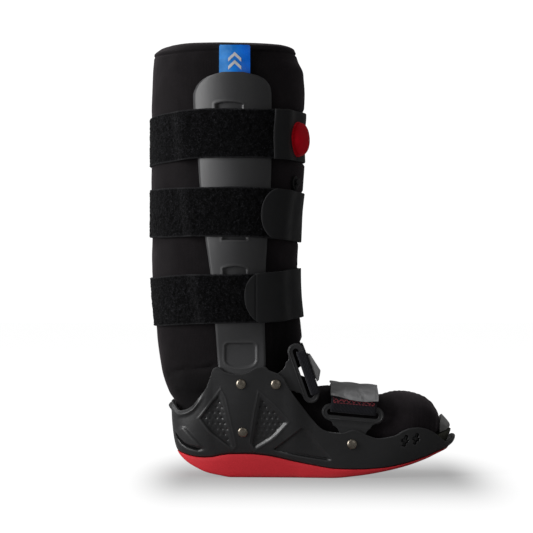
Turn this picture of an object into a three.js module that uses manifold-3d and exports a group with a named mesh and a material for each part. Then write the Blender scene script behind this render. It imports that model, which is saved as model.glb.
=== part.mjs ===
// A medical walking boot for the right foot: padded liner, moulded shell, uprights, straps and air pump.
// Millimetres, +Z up, +X toward the toe, -Y is the outer side of the leg, the floor is at Z = 0.
import * as THREE from "three";
import { mergeVertices } from "three/addons/utils/BufferGeometryUtils.js";
import Module from "manifold-3d";

const wasm = await Module();
wasm.setup();

// Driving dimensions
const bootLength = 311;
const bootHeight = 437;
const linerWidth = 124;
const shellWidth = 110;
const footHeight = 92;
const linerWall = 9;
const shellWall = 3;
const uprightWall = 4;
const uprightSeat = 2.6;
const strapWidth = 50;
const strapThickness = 2;
const tabThickness = 1.6;
const webbingWidth = 46;
const webbingThickness = 2;
const archPower = 0.8;
const flapThickness = 1.5;
const footbedThickness = 4;
const bracketThickness = 2.5;
const bracketFrameRadius = 8.3;
const bracketFrameLength = 46;
const slotLength = 52;
const slotWidth = 6.1;
const barWidth = 5.4;
const rivetHeadRadius = 5.1;
const rivetHeadHeight = 2.4;
const rivetShankRadius = 2;
const rivetTailRadius = 3.4;
const rivetTailHeight = 0.8;
const bulbRadius = 17.5;
const bulbHeight = 10;
const bulbSkirt = 6;
const valveRadius = 5;
const valveTallness = 1.5;
const valveHeight = 7;
const valveClearance = 0.7;
const pullTabWidth = 31;
const pullTabThickness = 1.5;
const pullTabCorner = 1.5;
const guardCorner = 1.5;
const guardEndHeight = 5;
const guardClearance = 2;
const shellEdge = 1;
const soleEdge = 0.6;
const soleChamfer = 2.5;
const uprightRowPitch = 30;
const gap = 0.4;
const layerGap = 0.5;
const bracketGap = 0.8;
const strapGap = 0.7;
const strapReach = 8;
const strapEase = 16;

// The sole's back and front end, and the rows and stations of the meshes
const heelX = -0.209 * bootLength;
const toeX = 0.6785 * bootLength;
const soleStations = 34;
const linerPoints = 28;
const strapStations = 52;

// The calf's level section: middle and half depth as shares of bootLength, half width of linerWidth
const calfTable = [
  { z: 0.2, middle: -0.034, depth: 0.232, width: 0.4 },
  { z: 0.3, middle: -0.0407, depth: 0.2335, width: 0.425 },
  { z: 0.361, middle: -0.0445, depth: 0.2371, width: 0.445 },
  { z: 0.423, middle: -0.0523, depth: 0.2371, width: 0.465 },
  { z: 0.487, middle: -0.0556, depth: 0.2386, width: 0.482 },
  { z: 0.54, middle: -0.0531, depth: 0.2418, width: 0.493 },
  { z: 0.61, middle: -0.0505, depth: 0.2435, width: 0.496 },
  { z: 0.67, middle: -0.0462, depth: 0.2478, width: 0.502 },
  { z: 0.725, middle: -0.0442, depth: 0.25, width: 0.503 },
  { z: 0.787, middle: -0.0455, depth: 0.2487, width: 0.5 },
  { z: 0.84, middle: -0.0424, depth: 0.2517, width: 0.503 },
  { z: 0.94, middle: -0.045, depth: 0.248, width: 0.5 },
  { z: 1.0, middle: -0.0474, depth: 0.241, width: 0.49 },
];
const calfSquareness = 2.35;

// Where the liner turns from the calf into the foot: heel or sole point, instep or toe point,
// x as shares of bootLength, z of footHeight, half width of shellWidth
const footTable = [
  { backX: -0.2733, backZ: 1.435, frontX: 0.1994, frontZ: 1.522, half: 0.455 },
  { backX: -0.262, backZ: 1.174, frontX: 0.2026, frontZ: 1.348, half: 0.425 },
  { backX: -0.238, backZ: 0.913, frontX: 0.1994, frontZ: 1.217, half: 0.405 },
  { backX: -0.2165, backZ: 0.8, frontX: 0.1736, frontZ: 1.158, half: 0.39 },
  { backX: -0.2, backZ: 0.6, frontX: 0.1715, frontZ: 1.14, half: 0.385 },
  { backX: -0.1447, backZ: 0.42, frontX: 0.172, frontZ: 1.125, half: 0.38 },
  { backX: -0.0482, backZ: 0.37, frontX: 0.1865, frontZ: 1.1, half: 0.38 },
  { backX: 0.0482, backZ: 0.365, frontX: 0.209, frontZ: 1.065, half: 0.395 },
  { backX: 0.135, backZ: 0.33, frontX: 0.2315, frontZ: 1.02, half: 0.41 },
  { backX: 0.2187, backZ: 0.265, frontX: 0.2605, frontZ: 0.962, half: 0.41 },
  { backX: 0.3055, backZ: 0.215, frontX: 0.3151, frontZ: 0.968, half: 0.41 },
  { backX: 0.3859, backZ: 0.205, frontX: 0.3923, frontZ: 0.95, half: 0.41 },
  { backX: 0.4662, backZ: 0.222, frontX: 0.4727, frontZ: 0.928, half: 0.408 },
  { backX: 0.5338, backZ: 0.265, frontX: 0.5402, frontZ: 0.918, half: 0.395 },
  { backX: 0.5852, backZ: 0.325, frontX: 0.5916, frontZ: 0.87, half: 0.355 },
  { backX: 0.6238, backZ: 0.42, frontX: 0.627, frontZ: 0.775, half: 0.29 },
  { backX: 0.6463, backZ: 0.46, frontX: 0.6479, frontZ: 0.67, half: 0.19 },
];
const footSquareness = 2.5;
const linerToe = { x: 0.6569, z: 0.555 };

// The shell and sole along the sole: seam, ground line and half widths
const seamTable = [
  { at: 0, z: 0.277 },
  { at: 0.054, z: 0.23 },
  { at: 0.09, z: 0.217 },
  { at: 0.126, z: 0.221 },
  { at: 0.161, z: 0.243 },
  { at: 0.2, z: 0.257 },
  { at: 0.26, z: 0.259 },
  { at: 0.32, z: 0.245 },
  { at: 0.377, z: 0.215 },
  { at: 0.417, z: 0.187 },
  { at: 0.496, z: 0.142 },
  { at: 0.58, z: 0.104 },
  { at: 0.663, z: 0.098 },
  { at: 0.746, z: 0.111 },
  { at: 0.83, z: 0.154 },
  { at: 0.913, z: 0.229 },
  { at: 0.953, z: 0.277 },
  { at: 1, z: 0.32 },
];
const groundTable = [
  { at: 0, z: 0.255 },
  { at: 0.011, z: 0.222 },
  { at: 0.038, z: 0.155 },
  { at: 0.075, z: 0.094 },
  { at: 0.11, z: 0.05 },
  { at: 0.157, z: 0.02 },
  { at: 0.2, z: 0 },
  { at: 0.56, z: 0 },
  { at: 0.663, z: 0.026 },
  { at: 0.746, z: 0.065 },
  { at: 0.83, z: 0.12 },
  { at: 0.913, z: 0.2 },
  { at: 0.953, z: 0.25 },
  { at: 1, z: 0.3 },
];
const planTable = [
  { at: 0, half: 0.4, flare: 0.04 },
  { at: 0.06, half: 0.402, flare: 0.07 },
  { at: 0.13, half: 0.405, flare: 0.115 },
  { at: 0.25, half: 0.41, flare: 0.13 },
  { at: 0.42, half: 0.43, flare: 0.115 },
  { at: 0.5, half: 0.455, flare: 0.04 },
  { at: 0.62, half: 0.485, flare: 0.012 },
  { at: 0.72, half: 0.487, flare: 0.01 },
  { at: 0.85, half: 0.47, flare: 0.014 },
  { at: 1, half: 0.44, flare: 0.02 },
];
const heelSquareness = 4.2;
const toeSquareness = 3.1;
const heelLean = -0.022 * bootLength;
const toeLean = 0.025 * bootLength;

// How far the footbed thickens toward the toe
const footbedTable = [
  { at: 0.86, rise: 0 },
  { at: 0.93, rise: 0.038 },
  { at: 0.96, rise: 0.06 },
  { at: 1, rise: 0.1 },
];

// The shell's rim
const rimTable = [
  { at: 0, z: 0.815 },
  { at: 0.012, z: 0.77 },
  { at: 0.03, z: 0.72 },
  { at: 0.05, z: 0.733 },
  { at: 0.075, z: 0.777 },
  { at: 0.1, z: 0.87 },
  { at: 0.126, z: 0.98 },
  { at: 0.141, z: 1.1 },
  { at: 0.15, z: 1.185 },
  { at: 0.163, z: 1.205 },
  { at: 0.195, z: 1.15 },
  { at: 0.232, z: 1.128 },
  { at: 0.27, z: 1.15 },
  { at: 0.303, z: 1.205 },
  { at: 0.328, z: 1.21 },
  { at: 0.342, z: 1.175 },
  { at: 0.377, z: 1.13 },
  { at: 0.393, z: 1.09 },
  { at: 0.405, z: 1.02 },
  { at: 0.42, z: 0.94 },
  { at: 0.456, z: 0.786 },
  { at: 0.495, z: 0.63 },
  { at: 0.529, z: 0.527 },
  { at: 0.558, z: 0.496 },
  { at: 0.592, z: 0.486 },
  { at: 0.638, z: 0.52 },
  { at: 0.688, z: 0.457 },
  { at: 0.721, z: 0.427 },
  { at: 0.779, z: 0.452 },
  { at: 0.808, z: 0.502 },
  { at: 0.837, z: 0.533 },
  { at: 0.862, z: 0.539 },
  { at: 0.891, z: 0.522 },
  { at: 0.92, z: 0.478 },
  { at: 0.949, z: 0.405 },
  { at: 0.962, z: 0.375 },
  { at: 0.98, z: 0.43 },
  { at: 1, z: 0.49 },
];

// The uprights' edges, x as shares of bootLength, z of bootHeight
const uprightTable = [
  { z: 0.085, back: -0.05, front: 0.05 },
  { z: 0.1, back: -0.062, front: 0.066 },
  { z: 0.24, back: -0.072, front: 0.077 },
  { z: 0.27, back: -0.0756, front: 0.0791 },
  { z: 0.35, back: -0.083, front: 0.0765 },
  { z: 0.47, back: -0.098, front: 0.079 },
  { z: 0.547, back: -0.1132, front: 0.0846 },
  { z: 0.666, back: -0.1318, front: 0.0955 },
  { z: 0.75, back: -0.14, front: 0.098 },
  { z: 0.876, back: -0.1537, front: 0.0981 },
  { z: 0.895, back: -0.145, front: 0.095 },
  { z: 0.912, back: -0.125, front: 0.08 },
  { z: 0.922, back: -0.1, front: 0.055 },
  { z: 0.93, back: -0.06, front: 0.01 },
];

// The shaft straps: middle heights at the back, side and front, as shares of bootHeight
const shaftStraps = [
  { name: "top", back: 0.776, side: 0.7905, front: 0.787 },
  { name: "middle", back: 0.61, side: 0.611, front: 0.6 },
  { name: "low", back: 0.404, side: 0.412, front: 0.4255 },
];

// The tabs on them: from the outer side round the front to a place on the inner side
const strapTabs = [
  { name: "bulb_panel", strap: 0, start: 0.109, end: 0.13, round: 0 },
  { name: "strap_tab_middle", strap: 1, start: 0.0675, end: 0.1, round: 0.26 },
  { name: "strap_tab_low", strap: 2, start: 0.0145, end: 0.1, round: 0.26 },
];

// Rivets, x as shares of bootLength, z of footHeight
const rivets = {
  upright_top: { x: 0, z: 1.03 },
  ankle_bracket: { x: 0.112, z: 1.028 },
  upright_low: { x: 0.0055, z: 0.503 },
  forefoot_bracket: { x: 0.3576, z: 0.373 },
};

// The brackets' frames, measured from their rivets: frameX as a share of bootLength, frameZ of footHeight,
// neck of bracketFrameLength, foot of bracketFrameRadius, shift of webbingWidth, tilt in radians
const brackets = {
  ankle: {
    rivet: rivets.ankle_bracket,
    frameX: 0.0891,
    frameZ: 0.1185,
    tilt: -1.235,
    neck: 0.413,
    foot: 1.145,
    shift: -0.026,
  },
  forefoot: {
    rivet: rivets.forefoot_bracket,
    frameX: 0.0039,
    frameZ: 0.3283,
    tilt: -0.088,
    neck: 0.478,
    foot: 1.446,
    shift: 0,
  },
};

// Soft plates on the webbing arches: from and to are angles across the foot; width, shift and the first
// end's lift are shares of webbingWidth
const archPlates = {
  ankle_strap_tab: { bracket: brackets.ankle, from: 1.2, to: 2.4, width: 0.6, shift: 0.043, lift: 0.109 },
  forefoot_flap: { bracket: brackets.forefoot, from: 0.42, to: 1.9, width: 1.043, shift: 0, lift: 0 },
};

// The pump's angles round the calf and the bulb's height as a share of bootHeight, and the pull tab's rows
const pump = { angle: 0.7, bulb: 0.778, valveAngle: 0.56 };
const pullTabRows = [0.86, 0.9, 0.94, 0.97, 0.993];
const pullTabLeft = -0.07;

// The toe guard: centre as a share of bootLength, half of shellWidth, top of footHeight, spread in radians
const guard = { centre: 0.575, half: 0.4, top: 0.665, spread: 0.75 };

// A smooth curve through one column of a table, without overshoot
function follow(table, key, column, at) {
  const last = table.length - 1;
  if (at <= table[0][key]) return table[0][column];
  if (at >= table[last][key]) return table[last][column];
  const slope = (i) =>
    (table[i + 1][column] - table[i][column]) / (table[i + 1][key] - table[i][key]);
  const tangent = (i) => {
    if (i === 0) return slope(0);
    if (i === last) return slope(last - 1);
    const before = slope(i - 1);
    const after = slope(i);
    return before * after <= 0 ? 0 : (2 * before * after) / (before + after);
  };
  let i = 0;
  while (table[i + 1][key] < at) i++;
  const step = table[i + 1][key] - table[i][key];
  const t = (at - table[i][key]) / step;
  const low = table[i][column];
  const high = table[i + 1][column];
  return (
    low * (2 * t ** 3 - 3 * t ** 2 + 1) +
    step * tangent(i) * (t ** 3 - 2 * t ** 2 + t) +
    high * (3 * t ** 2 - 2 * t ** 3) +
    step * tangent(i + 1) * (t ** 3 - t ** 2)
  );
}

const mix = (a, b, t) => a + (b - a) * t;
const between = (value, low, high) => Math.min(high, Math.max(low, value));
const smooth = (t) => {
  const s = between(t, 0, 1);
  return s * s * (3 - 2 * s);
};
const signedPower = (value, power) => Math.sign(value) * Math.abs(value) ** power;

// Geometry from vertices and triangles, turned so that its faces point out
function solidGeometry(points, triangles) {
  let volume = 0;
  for (const [a, b, c] of triangles) volume += points[a].dot(points[b].clone().cross(points[c]));
  const faces = volume < 0 ? triangles.map(([a, b, c]) => [a, c, b]) : triangles;
  const geometry = new THREE.BufferGeometry();
  geometry.setAttribute("position", new THREE.Float32BufferAttribute(points.flatMap((p) => p.toArray()), 3));
  geometry.setIndex(faces.flat());
  return mergeVertices(geometry, 1e-4);
}

// Rings of points joined into one skin; each end closes on a point, or straight across a mirrored ring,
// or, for a closed run of rings, on the other end
function skin(rings, ends) {
  const count = rings[0].length;
  const points = rings.flat();
  const triangles = [];
  const bridge = (low, high) => {
    for (let j = 0; j < count; j++) {
      const next = (j + 1) % count;
      triangles.push([low + j, low + next, high + next], [low + j, high + next, high + j]);
    }
  };
  for (let i = 0; i + 1 < rings.length; i++) bridge(i * count, (i + 1) * count);
  if (ends.loop) bridge((rings.length - 1) * count, 0);
  const close = (start, end, flip) => {
    const add = (a, b, c) => triangles.push(flip ? [a, c, b] : [a, b, c]);
    if (end.isVector3) {
      points.push(end);
      for (let j = 0; j < count; j++) add(start + ((j + 1) % count), start + j, points.length - 1);
      return;
    }
    for (let j = 0; j < count / 2; j++) {
      const far = (count - j) % count;
      add(start + j, start + far, start + j + 1);
      add(start + far, start + count - j - 1, start + j + 1);
    }
  };
  if (!ends.loop) {
    close(0, ends.first, false);
    close((rings.length - 1) * count, ends.last, true);
  }
  const real = triangles.filter(
    ([a, b, c]) => points[b].clone().sub(points[a]).cross(points[c].clone().sub(points[a])).length() > 1e-9,
  );
  return solidGeometry(points, real);
}

const middleOf = (ring) =>
  ring.reduce((sum, p) => sum.add(p), new THREE.Vector3()).multiplyScalar(1 / ring.length);

// Booleans
function manifoldOf(geometry) {
  const bare = new THREE.BufferGeometry();
  bare.setAttribute("position", (geometry.index ? geometry.toNonIndexed() : geometry).getAttribute("position"));
  const merged = mergeVertices(bare, 1e-4);
  return new wasm.Manifold(
    new wasm.Mesh({
      numProp: 3,
      vertProperties: merged.attributes.position.array,
      triVerts: new Uint32Array(merged.index.array),
    }),
  );
}

function geometryOf(solid) {
  const mesh = solid.getMesh();
  const geometry = new THREE.BufferGeometry();
  geometry.setAttribute("position", new THREE.BufferAttribute(new Float32Array(mesh.vertProperties), 3));
  geometry.setIndex(new THREE.BufferAttribute(new Uint32Array(mesh.triVerts), 1));
  return geometry;
}

const cut = (geometry, ...tools) =>
  geometryOf(tools.reduce((solid, tool) => solid.subtract(manifoldOf(tool)), manifoldOf(geometry)));
const join = (geometry, ...others) =>
  geometryOf(others.reduce((solid, other) => solid.add(manifoldOf(other)), manifoldOf(geometry)));

function mirrored(geometry) {
  const copy = geometry.index ? geometry.toNonIndexed() : geometry.clone();
  const position = copy.getAttribute("position").array.slice();
  const points = [];
  for (let i = 0; i < position.length; i += 3) {
    points.push(new THREE.Vector3(position[i], -position[i + 1], position[i + 2]));
  }
  return solidGeometry(points, points.flatMap((_, i) => (i % 3 ? [] : [[i, i + 2, i + 1]])));
}

// The calf
const calf = (z) => {
  const share = z / bootHeight;
  return {
    middle: follow(calfTable, "z", "middle", share) * bootLength,
    depth: follow(calfTable, "z", "depth", share) * bootLength,
    width: follow(calfTable, "z", "width", share) * linerWidth,
  };
};

// A point of the calf's section at height z, out from the liner's skin; angle 0 is the front, -Y at 90 degrees
function calfPoint(angle, z, out) {
  const { middle, depth, width } = calf(z);
  const power = 2 / calfSquareness;
  return new THREE.Vector3(
    middle + (depth + out) * signedPower(Math.cos(angle), power),
    -(width + out) * signedPower(Math.sin(angle), power),
    z,
  );
}

function calfSide(x, z, out) {
  const { middle, depth, width } = calf(z);
  const share = between(Math.abs((x - middle) / (depth + out)), 0, 1);
  return (width + out) * (1 - share ** calfSquareness) ** (1 / calfSquareness);
}

const angleAt = (x, z, out) => {
  const { middle, depth } = calf(z);
  const share = between((x - middle) / (depth + out), -1, 1);
  return Math.acos(signedPower(share, calfSquareness / 2));
};

// The foot trough: heights along the sole, and the outline at a height's share of the wall
const seamZ = (at) => follow(seamTable, "at", "z", at) * footHeight;
const groundZ = (at) => follow(groundTable, "at", "z", at) * footHeight;
const soleShare = (x) => between((x - heelX) / (toeX - heelX), 0, 1);
const rimZ = (at) => follow(rimTable, "at", "z", at) * footHeight;
const wallLean = (share) => 1 - (1 - share) ** 2;

function troughEnds(share, inset) {
  return {
    back: heelX + heelLean * wallLean(share) ** 0.6 + inset,
    front: toeX + toeLean * wallLean(share) ** 0.8 - inset,
  };
}

function troughHalf(at, share, inset) {
  const full =
    (follow(planTable, "at", "half", at) + follow(planTable, "at", "flare", at) * wallLean(share)) * shellWidth;
  const squareness = at < 0.5 ? heelSquareness : toeSquareness;
  const end = (1 - Math.abs(2 * at - 1) ** squareness) ** (1 / squareness);
  return (full - inset) * end;
}

function troughSide(x, z, inset) {
  let at = (x - heelX) / (toeX - heelX);
  let share = 0;
  for (let pass = 0; pass < 4; pass++) {
    share = between((z - seamZ(at)) / (rimZ(at) - seamZ(at)), 0, 1);
    const ends = troughEnds(share, inset);
    at = between((x - ends.back) / (ends.front - ends.back), 0, 1);
  }
  return troughHalf(at, share, inset);
}

// A closed ring round the foot: heel, outer side, toe, inner side
function troughRing(share, inset, height, endInset = inset) {
  const ring = [];
  for (let j = 0; j < 2 * soleStations; j++) {
    const outer = j <= soleStations;
    const step = outer ? j : 2 * soleStations - j;
    const at = (1 - Math.cos((Math.PI * step) / soleStations)) / 2;
    const ends = troughEnds(share, endInset);
    const y = step % soleStations === 0 ? 0 : troughHalf(at, share, inset);
    const x = mix(ends.back, ends.front, at);
    ring.push(new THREE.Vector3(x, outer ? -y : y, height(at, soleShare(x))));
  }
  return ring;
}

// Liner
function linerSections() {
  const shaft = [0.94, 0.84, 0.787, 0.725, 0.67, 0.61, 0.54, 0.487, 0.423, 0.361].map((share) => {
    const { middle, depth, width } = calf(share * bootHeight);
    return {
      back: new THREE.Vector3(middle - depth, 0, share * bootHeight),
      front: new THREE.Vector3(middle + depth, 0, share * bootHeight),
      half: width,
      power: 2 / calfSquareness,
    };
  });
  const foot = footTable.map((row, i) => ({
    back: new THREE.Vector3(row.backX * bootLength, 0, row.backZ * footHeight),
    front: new THREE.Vector3(row.frontX * bootLength, 0, row.frontZ * footHeight),
    half: row.half * shellWidth,
    power: 2 / mix(calfSquareness, footSquareness, between(i / 5, 0, 1)),
  }));
  return [...shaft, ...foot];
}

function sectionRing({ back, front, half, power }, inset) {
  const middle = back.clone().add(front).multiplyScalar(0.5);
  const arm = front.clone().sub(back).multiplyScalar(0.5);
  arm.setLength(arm.length() - inset);
  return Array.from({ length: linerPoints }, (_, j) => {
    const angle = (2 * Math.PI * j) / linerPoints;
    return middle
      .clone()
      .addScaledVector(arm, signedPower(Math.cos(angle), power))
      .add(new THREE.Vector3(0, -(half - inset) * signedPower(Math.sin(angle), power), 0));
  });
}

function levelRing(z, out) {
  return Array.from({ length: linerPoints }, (_, j) => calfPoint((2 * Math.PI * j) / linerPoints, z, out));
}

function liner() {
  const sections = linerSections();
  const roll = linerWall / 2;
  const outer = sections.map((section) => sectionRing(section, 0)).reverse();
  const inner = sections
    .slice(0, -2)
    .filter((_, i) => i % 2 === 1)
    .map((section) => sectionRing(section, linerWall));
  const rim = [
    levelRing(bootHeight - roll, 0),
    levelRing(bootHeight - roll * 0.3, -roll * 0.3),
    levelRing(bootHeight, -roll),
    levelRing(bootHeight - roll * 0.3, -linerWall + roll * 0.3),
    levelRing(bootHeight - roll, -linerWall),
  ];
  const toe = new THREE.Vector3(linerToe.x * bootLength, 0, linerToe.z * footHeight);
  return skin([...outer, ...rim, ...inner], {
    first: toe,
    last: toe.clone().add(new THREE.Vector3(-linerWall, 0, 0)),
  });
}

// Shell, outsole, footbed and toe guard
function shell() {
  const outer = [0, 0.06, 0.28, 0.58, 0.84, 1].map((share) =>
    troughRing(share, share === 0 ? shellEdge : 0, (at) => mix(seamZ(at), rimZ(at), share)),
  );
  const inner = [1, 0.7, 0.35, 0].map((share) =>
    troughRing(mix(0.08, 1, share), shellWall, (at, level) =>
      mix(seamZ(level) + shellWall, rimZ(at), share),
    ),
  );
  const holes = Object.values(rivets).flatMap((rivet) => {
    const hole = placed(rivetHole(), rivet);
    return [hole, mirrored(hole)];
  });
  return cut(skin([...outer, ...inner], { first: "across", last: "across" }), ...holes);
}

function outsole() {
  const height = (share) => (at, level) => mix(seamZ(level) - gap, groundZ(level), share);
  const rings = [
    troughRing(0, soleEdge, height(0)),
    troughRing(0, -soleEdge, height(0.25)),
    troughRing(0, 0, height(0.75)),
    troughRing(0, soleChamfer, height(1)),
  ];
  return skin(rings, { first: "across", last: "across" });
}

function footbedTop(level) {
  const rise = follow(footbedTable, "at", "rise", level) * footHeight;
  return seamZ(level) + shellWall + gap + footbedThickness + rise;
}

function footbed() {
  const side = shellWall + uprightWall + rivetTailHeight + 3 * gap;
  const end = shellWall + 2 * gap;
  const rings = [
    troughRing(0.08, side, (at, level) => seamZ(level) + shellWall + gap, end),
    troughRing(0.1, side, (at, level) => footbedTop(level), end),
  ];
  return skin(rings, { first: "across", last: "across" });
}

// Uprights
function uprightOuter(x, z) {
  const rimBlend = smooth((z / footHeight - 1.22) / 0.5);
  const inShell = troughSide(x, z, shellWall + gap);
  const onCalf = calfSide(x, z, uprightSeat + uprightWall);
  return mix(inShell, onCalf, rimBlend);
}

function upright() {
  const rows = uprightTable.flatMap((row, i) => {
    const next = uprightTable[i + 1];
    const rise = next ? (next.z - row.z) * bootHeight : 0;
    const parts = Math.max(1, Math.round(rise / uprightRowPitch));
    return Array.from({ length: parts }, (_, k) => mix(row.z, next ? next.z : row.z, k / parts));
  });
  const columns = 8;
  const rings = rows.map((share) => {
    const z = share * bootHeight;
    const back = follow(uprightTable, "z", "back", share) * bootLength;
    const front = follow(uprightTable, "z", "front", share) * bootLength;
    const side = (k, depth) => {
      const x = mix(back, front, k / columns);
      return new THREE.Vector3(x, -(uprightOuter(x, z) - depth), z);
    };
    const outer = Array.from({ length: columns + 1 }, (_, k) => side(k, 0));
    const inner = Array.from({ length: columns + 1 }, (_, k) => side(columns - k, uprightWall));
    return [...outer, ...inner];
  });
  const solid = skin(rings, { first: middleOf(rings[0]), last: middleOf(rings[rings.length - 1]) });
  return cut(solid, placed(rivetHole(), rivets.upright_top), placed(rivetHole(), rivets.upright_low));
}

// Rivets
const grip = shellWall + gap + uprightWall;
const rivetSides = 8;

function rivetShape() {
  const headSteps = 3;
  const under = gap;
  const tail = -grip - 2 * gap;
  const points = [
    new THREE.Vector2(0, tail - rivetTailHeight),
    new THREE.Vector2(rivetTailRadius, tail - rivetTailHeight),
    new THREE.Vector2(rivetTailRadius, tail),
    new THREE.Vector2(rivetShankRadius, tail),
    new THREE.Vector2(rivetShankRadius, under),
  ];
  for (let k = 0; k <= headSteps; k++) {
    const turn = ((Math.PI / 2) * k) / headSteps;
    const radius = k === headSteps ? 0 : rivetHeadRadius * Math.cos(turn);
    points.push(new THREE.Vector2(radius, under + rivetHeadHeight * (0.25 + 0.75 * Math.sin(turn))));
    if (k === 0) points.splice(points.length - 1, 0, new THREE.Vector2(rivetHeadRadius, under));
  }
  points.push(points[0].clone());
  return new THREE.LatheGeometry(points, rivetSides);
}

function rivetHole() {
  return new THREE.CylinderGeometry(rivetShankRadius + gap, rivetShankRadius + gap, 4 * grip, rivetSides);
}

// The frame of a place on the shell's outer side: Y axis of the geometry becomes the outward normal
function placed(geometry, { x, z }) {
  const px = x * bootLength;
  const pz = z * footHeight;
  const step = 3;
  const side = (dx, dz) => troughSide(px + dx, pz + dz, 0);
  const slopeX = (side(step, 0) - side(-step, 0)) / (2 * step);
  const slopeZ = (side(0, step) - side(0, -step)) / (2 * step);
  const normal = new THREE.Vector3(-slopeX, -1, -slopeZ).normalize();
  const turn = new THREE.Quaternion().setFromUnitVectors(new THREE.Vector3(0, 1, 0), normal);
  const copy = geometry.clone();
  copy.applyQuaternion(turn);
  copy.translate(px, -side(0, 0), pz);
  return copy;
}

// Brackets: a slotted frame on a neck that is riveted inside the shell
function bracketPlace({ rivet, frameX, frameZ, tilt }) {
  const foot = new THREE.Vector3(rivet.x * bootLength, 0, rivet.z * footHeight);
  const reach = 2 * rivetHeadRadius;
  const depths = [-1, 0, 1].flatMap((i) =>
    [-1, 0, 1].map((k) => troughSide(foot.x + i * reach, foot.z + k * reach, shellWall)),
  );
  const along = new THREE.Vector3(Math.cos(tilt), 0, Math.sin(tilt));
  const away = new THREE.Vector3(-Math.sin(tilt), 0, Math.cos(tilt));
  return {
    foot,
    along,
    away,
    centre: foot.clone().add(new THREE.Vector3(frameX * bootLength, 0, frameZ * footHeight)),
    outerY: -(Math.min(...depths) - bracketGap),
  };
}

function roundedBar(length, radius, offset) {
  const shape = new THREE.Shape();
  const end = length / 2;
  shape.absarc(end, offset, radius, -Math.PI / 2, Math.PI / 2);
  shape.absarc(-end, offset, radius, Math.PI / 2, (3 * Math.PI) / 2);
  shape.closePath();
  return shape;
}

function plate(shape, thickness, steps) {
  return new THREE.ExtrudeGeometry(shape, { depth: thickness, bevelEnabled: false, curveSegments: steps });
}

function bracket(spec) {
  const { foot, along, away, centre, outerY } = bracketPlace(spec);
  const frame = plate(roundedBar(bracketFrameLength, bracketFrameRadius, 0), bracketThickness, 4);
  const slotMiddle = bracketFrameRadius - barWidth - slotWidth / 2;
  const slotShape = roundedBar(slotLength - slotWidth, slotWidth / 2, slotMiddle);
  const slot = plate(slotShape, 3 * bracketThickness, 3).translate(0, 0, -bracketThickness);
  const local = (point) => {
    const offset = point.clone().sub(centre);
    return new THREE.Vector2(offset.dot(along), offset.dot(away));
  };
  const footPoint = local(foot);
  const neck = new THREE.Shape();
  const edge = -bracketFrameRadius * 0.55;
  const neckHalf = spec.neck * bracketFrameLength;
  const footRadius = spec.foot * bracketFrameRadius;
  const waist = mix(edge, footPoint.y, 0.45);
  neck.moveTo(-neckHalf, edge);
  neck.lineTo(neckHalf, edge);
  neck.quadraticCurveTo(footPoint.x + footRadius, waist, footPoint.x + footRadius, footPoint.y);
  neck.absarc(footPoint.x, footPoint.y, footRadius, 0, -Math.PI, true);
  neck.quadraticCurveTo(footPoint.x - footRadius, waist, -neckHalf, edge);
  const joined = join(frame, plate(neck, bracketThickness, 4));
  const solid = cut(joined, slot);
  const out = new THREE.Vector3(0, -1, 0);
  solid.applyMatrix4(new THREE.Matrix4().makeBasis(along, away, out));
  solid.translate(centre.x, outerY + bracketThickness, centre.z);
  return cut(solid, placed(rivetHole(), spec.rivet));
}

// How far out a webbing arch has to run to clear the liner's instep under it
function archRise(spec) {
  const { along, away, centre } = bracketPlace(spec);
  const shift = spec.shift * webbingWidth;
  const fronts = linerSections().map((section) => section.front);
  let rise = 0;
  for (let i = 0; i + 1 < fronts.length; i++) {
    for (let k = 0; k <= 8; k++) {
      const offset = fronts[i].clone().lerp(fronts[i + 1], k / 8).sub(centre);
      const side = Math.abs(offset.dot(along) - shift) < webbingWidth / 2 + gap;
      if (side) rise = Math.max(rise, offset.dot(away));
    }
  }
  return rise + gap + webbingThickness;
}

// Webbing that crosses the foot between two brackets and is looped round the outer bar of each
function webbing(spec) {
  const { along, away, centre, outerY } = bracketPlace(spec);
  const rise = archRise(spec);
  const barTop = bracketFrameRadius;
  const barFoot = bracketFrameRadius - barWidth;
  const side = -outerY;
  const inner = side - bracketThickness - gap;
  const skinInner = inner - webbingThickness;
  const skinOuter = side + gap + webbingThickness;
  const arcSteps = 14;
  const shape = new THREE.Shape();
  const arch = (half, top, from) => {
    const points = [];
    for (let k = 0; k <= arcSteps; k++) {
      const turn = (Math.PI * k) / arcSteps;
      points.push([-half * Math.cos(turn), from + (top - from) * Math.sin(turn) ** archPower]);
    }
    return points;
  };
  const outerArch = arch(skinOuter, rise, barTop + gap);
  const innerArch = arch(skinInner, rise - webbingThickness, barTop + gap);
  const slotSkin = barFoot - gap - webbingThickness;
  shape.moveTo(-skinOuter, slotSkin);
  outerArch.forEach(([y, n]) => shape.lineTo(y, n));
  shape.lineTo(skinOuter, slotSkin);
  shape.lineTo(skinInner, slotSkin);
  innerArch.reverse().forEach(([y, n]) => shape.lineTo(y, n));
  shape.lineTo(-skinInner, slotSkin);
  shape.closePath();
  for (const [low, high] of [[-side - gap, -inner], [inner, side + gap]]) {
    const eye = new THREE.Path();
    eye.moveTo(low, barFoot - gap);
    eye.lineTo(high, barFoot - gap);
    eye.lineTo(high, barTop + gap);
    eye.lineTo(low, barTop + gap);
    eye.closePath();
    shape.holes.push(eye);
  }
  const solid = plate(shape, webbingWidth, 1);
  solid.translate(0, 0, (spec.shift - 0.5) * webbingWidth);
  const yAxis = new THREE.Vector3(0, 1, 0);
  solid.applyMatrix4(new THREE.Matrix4().makeBasis(yAxis, away, along));
  solid.translate(centre.x, 0, centre.z);
  return solid;
}

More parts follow.
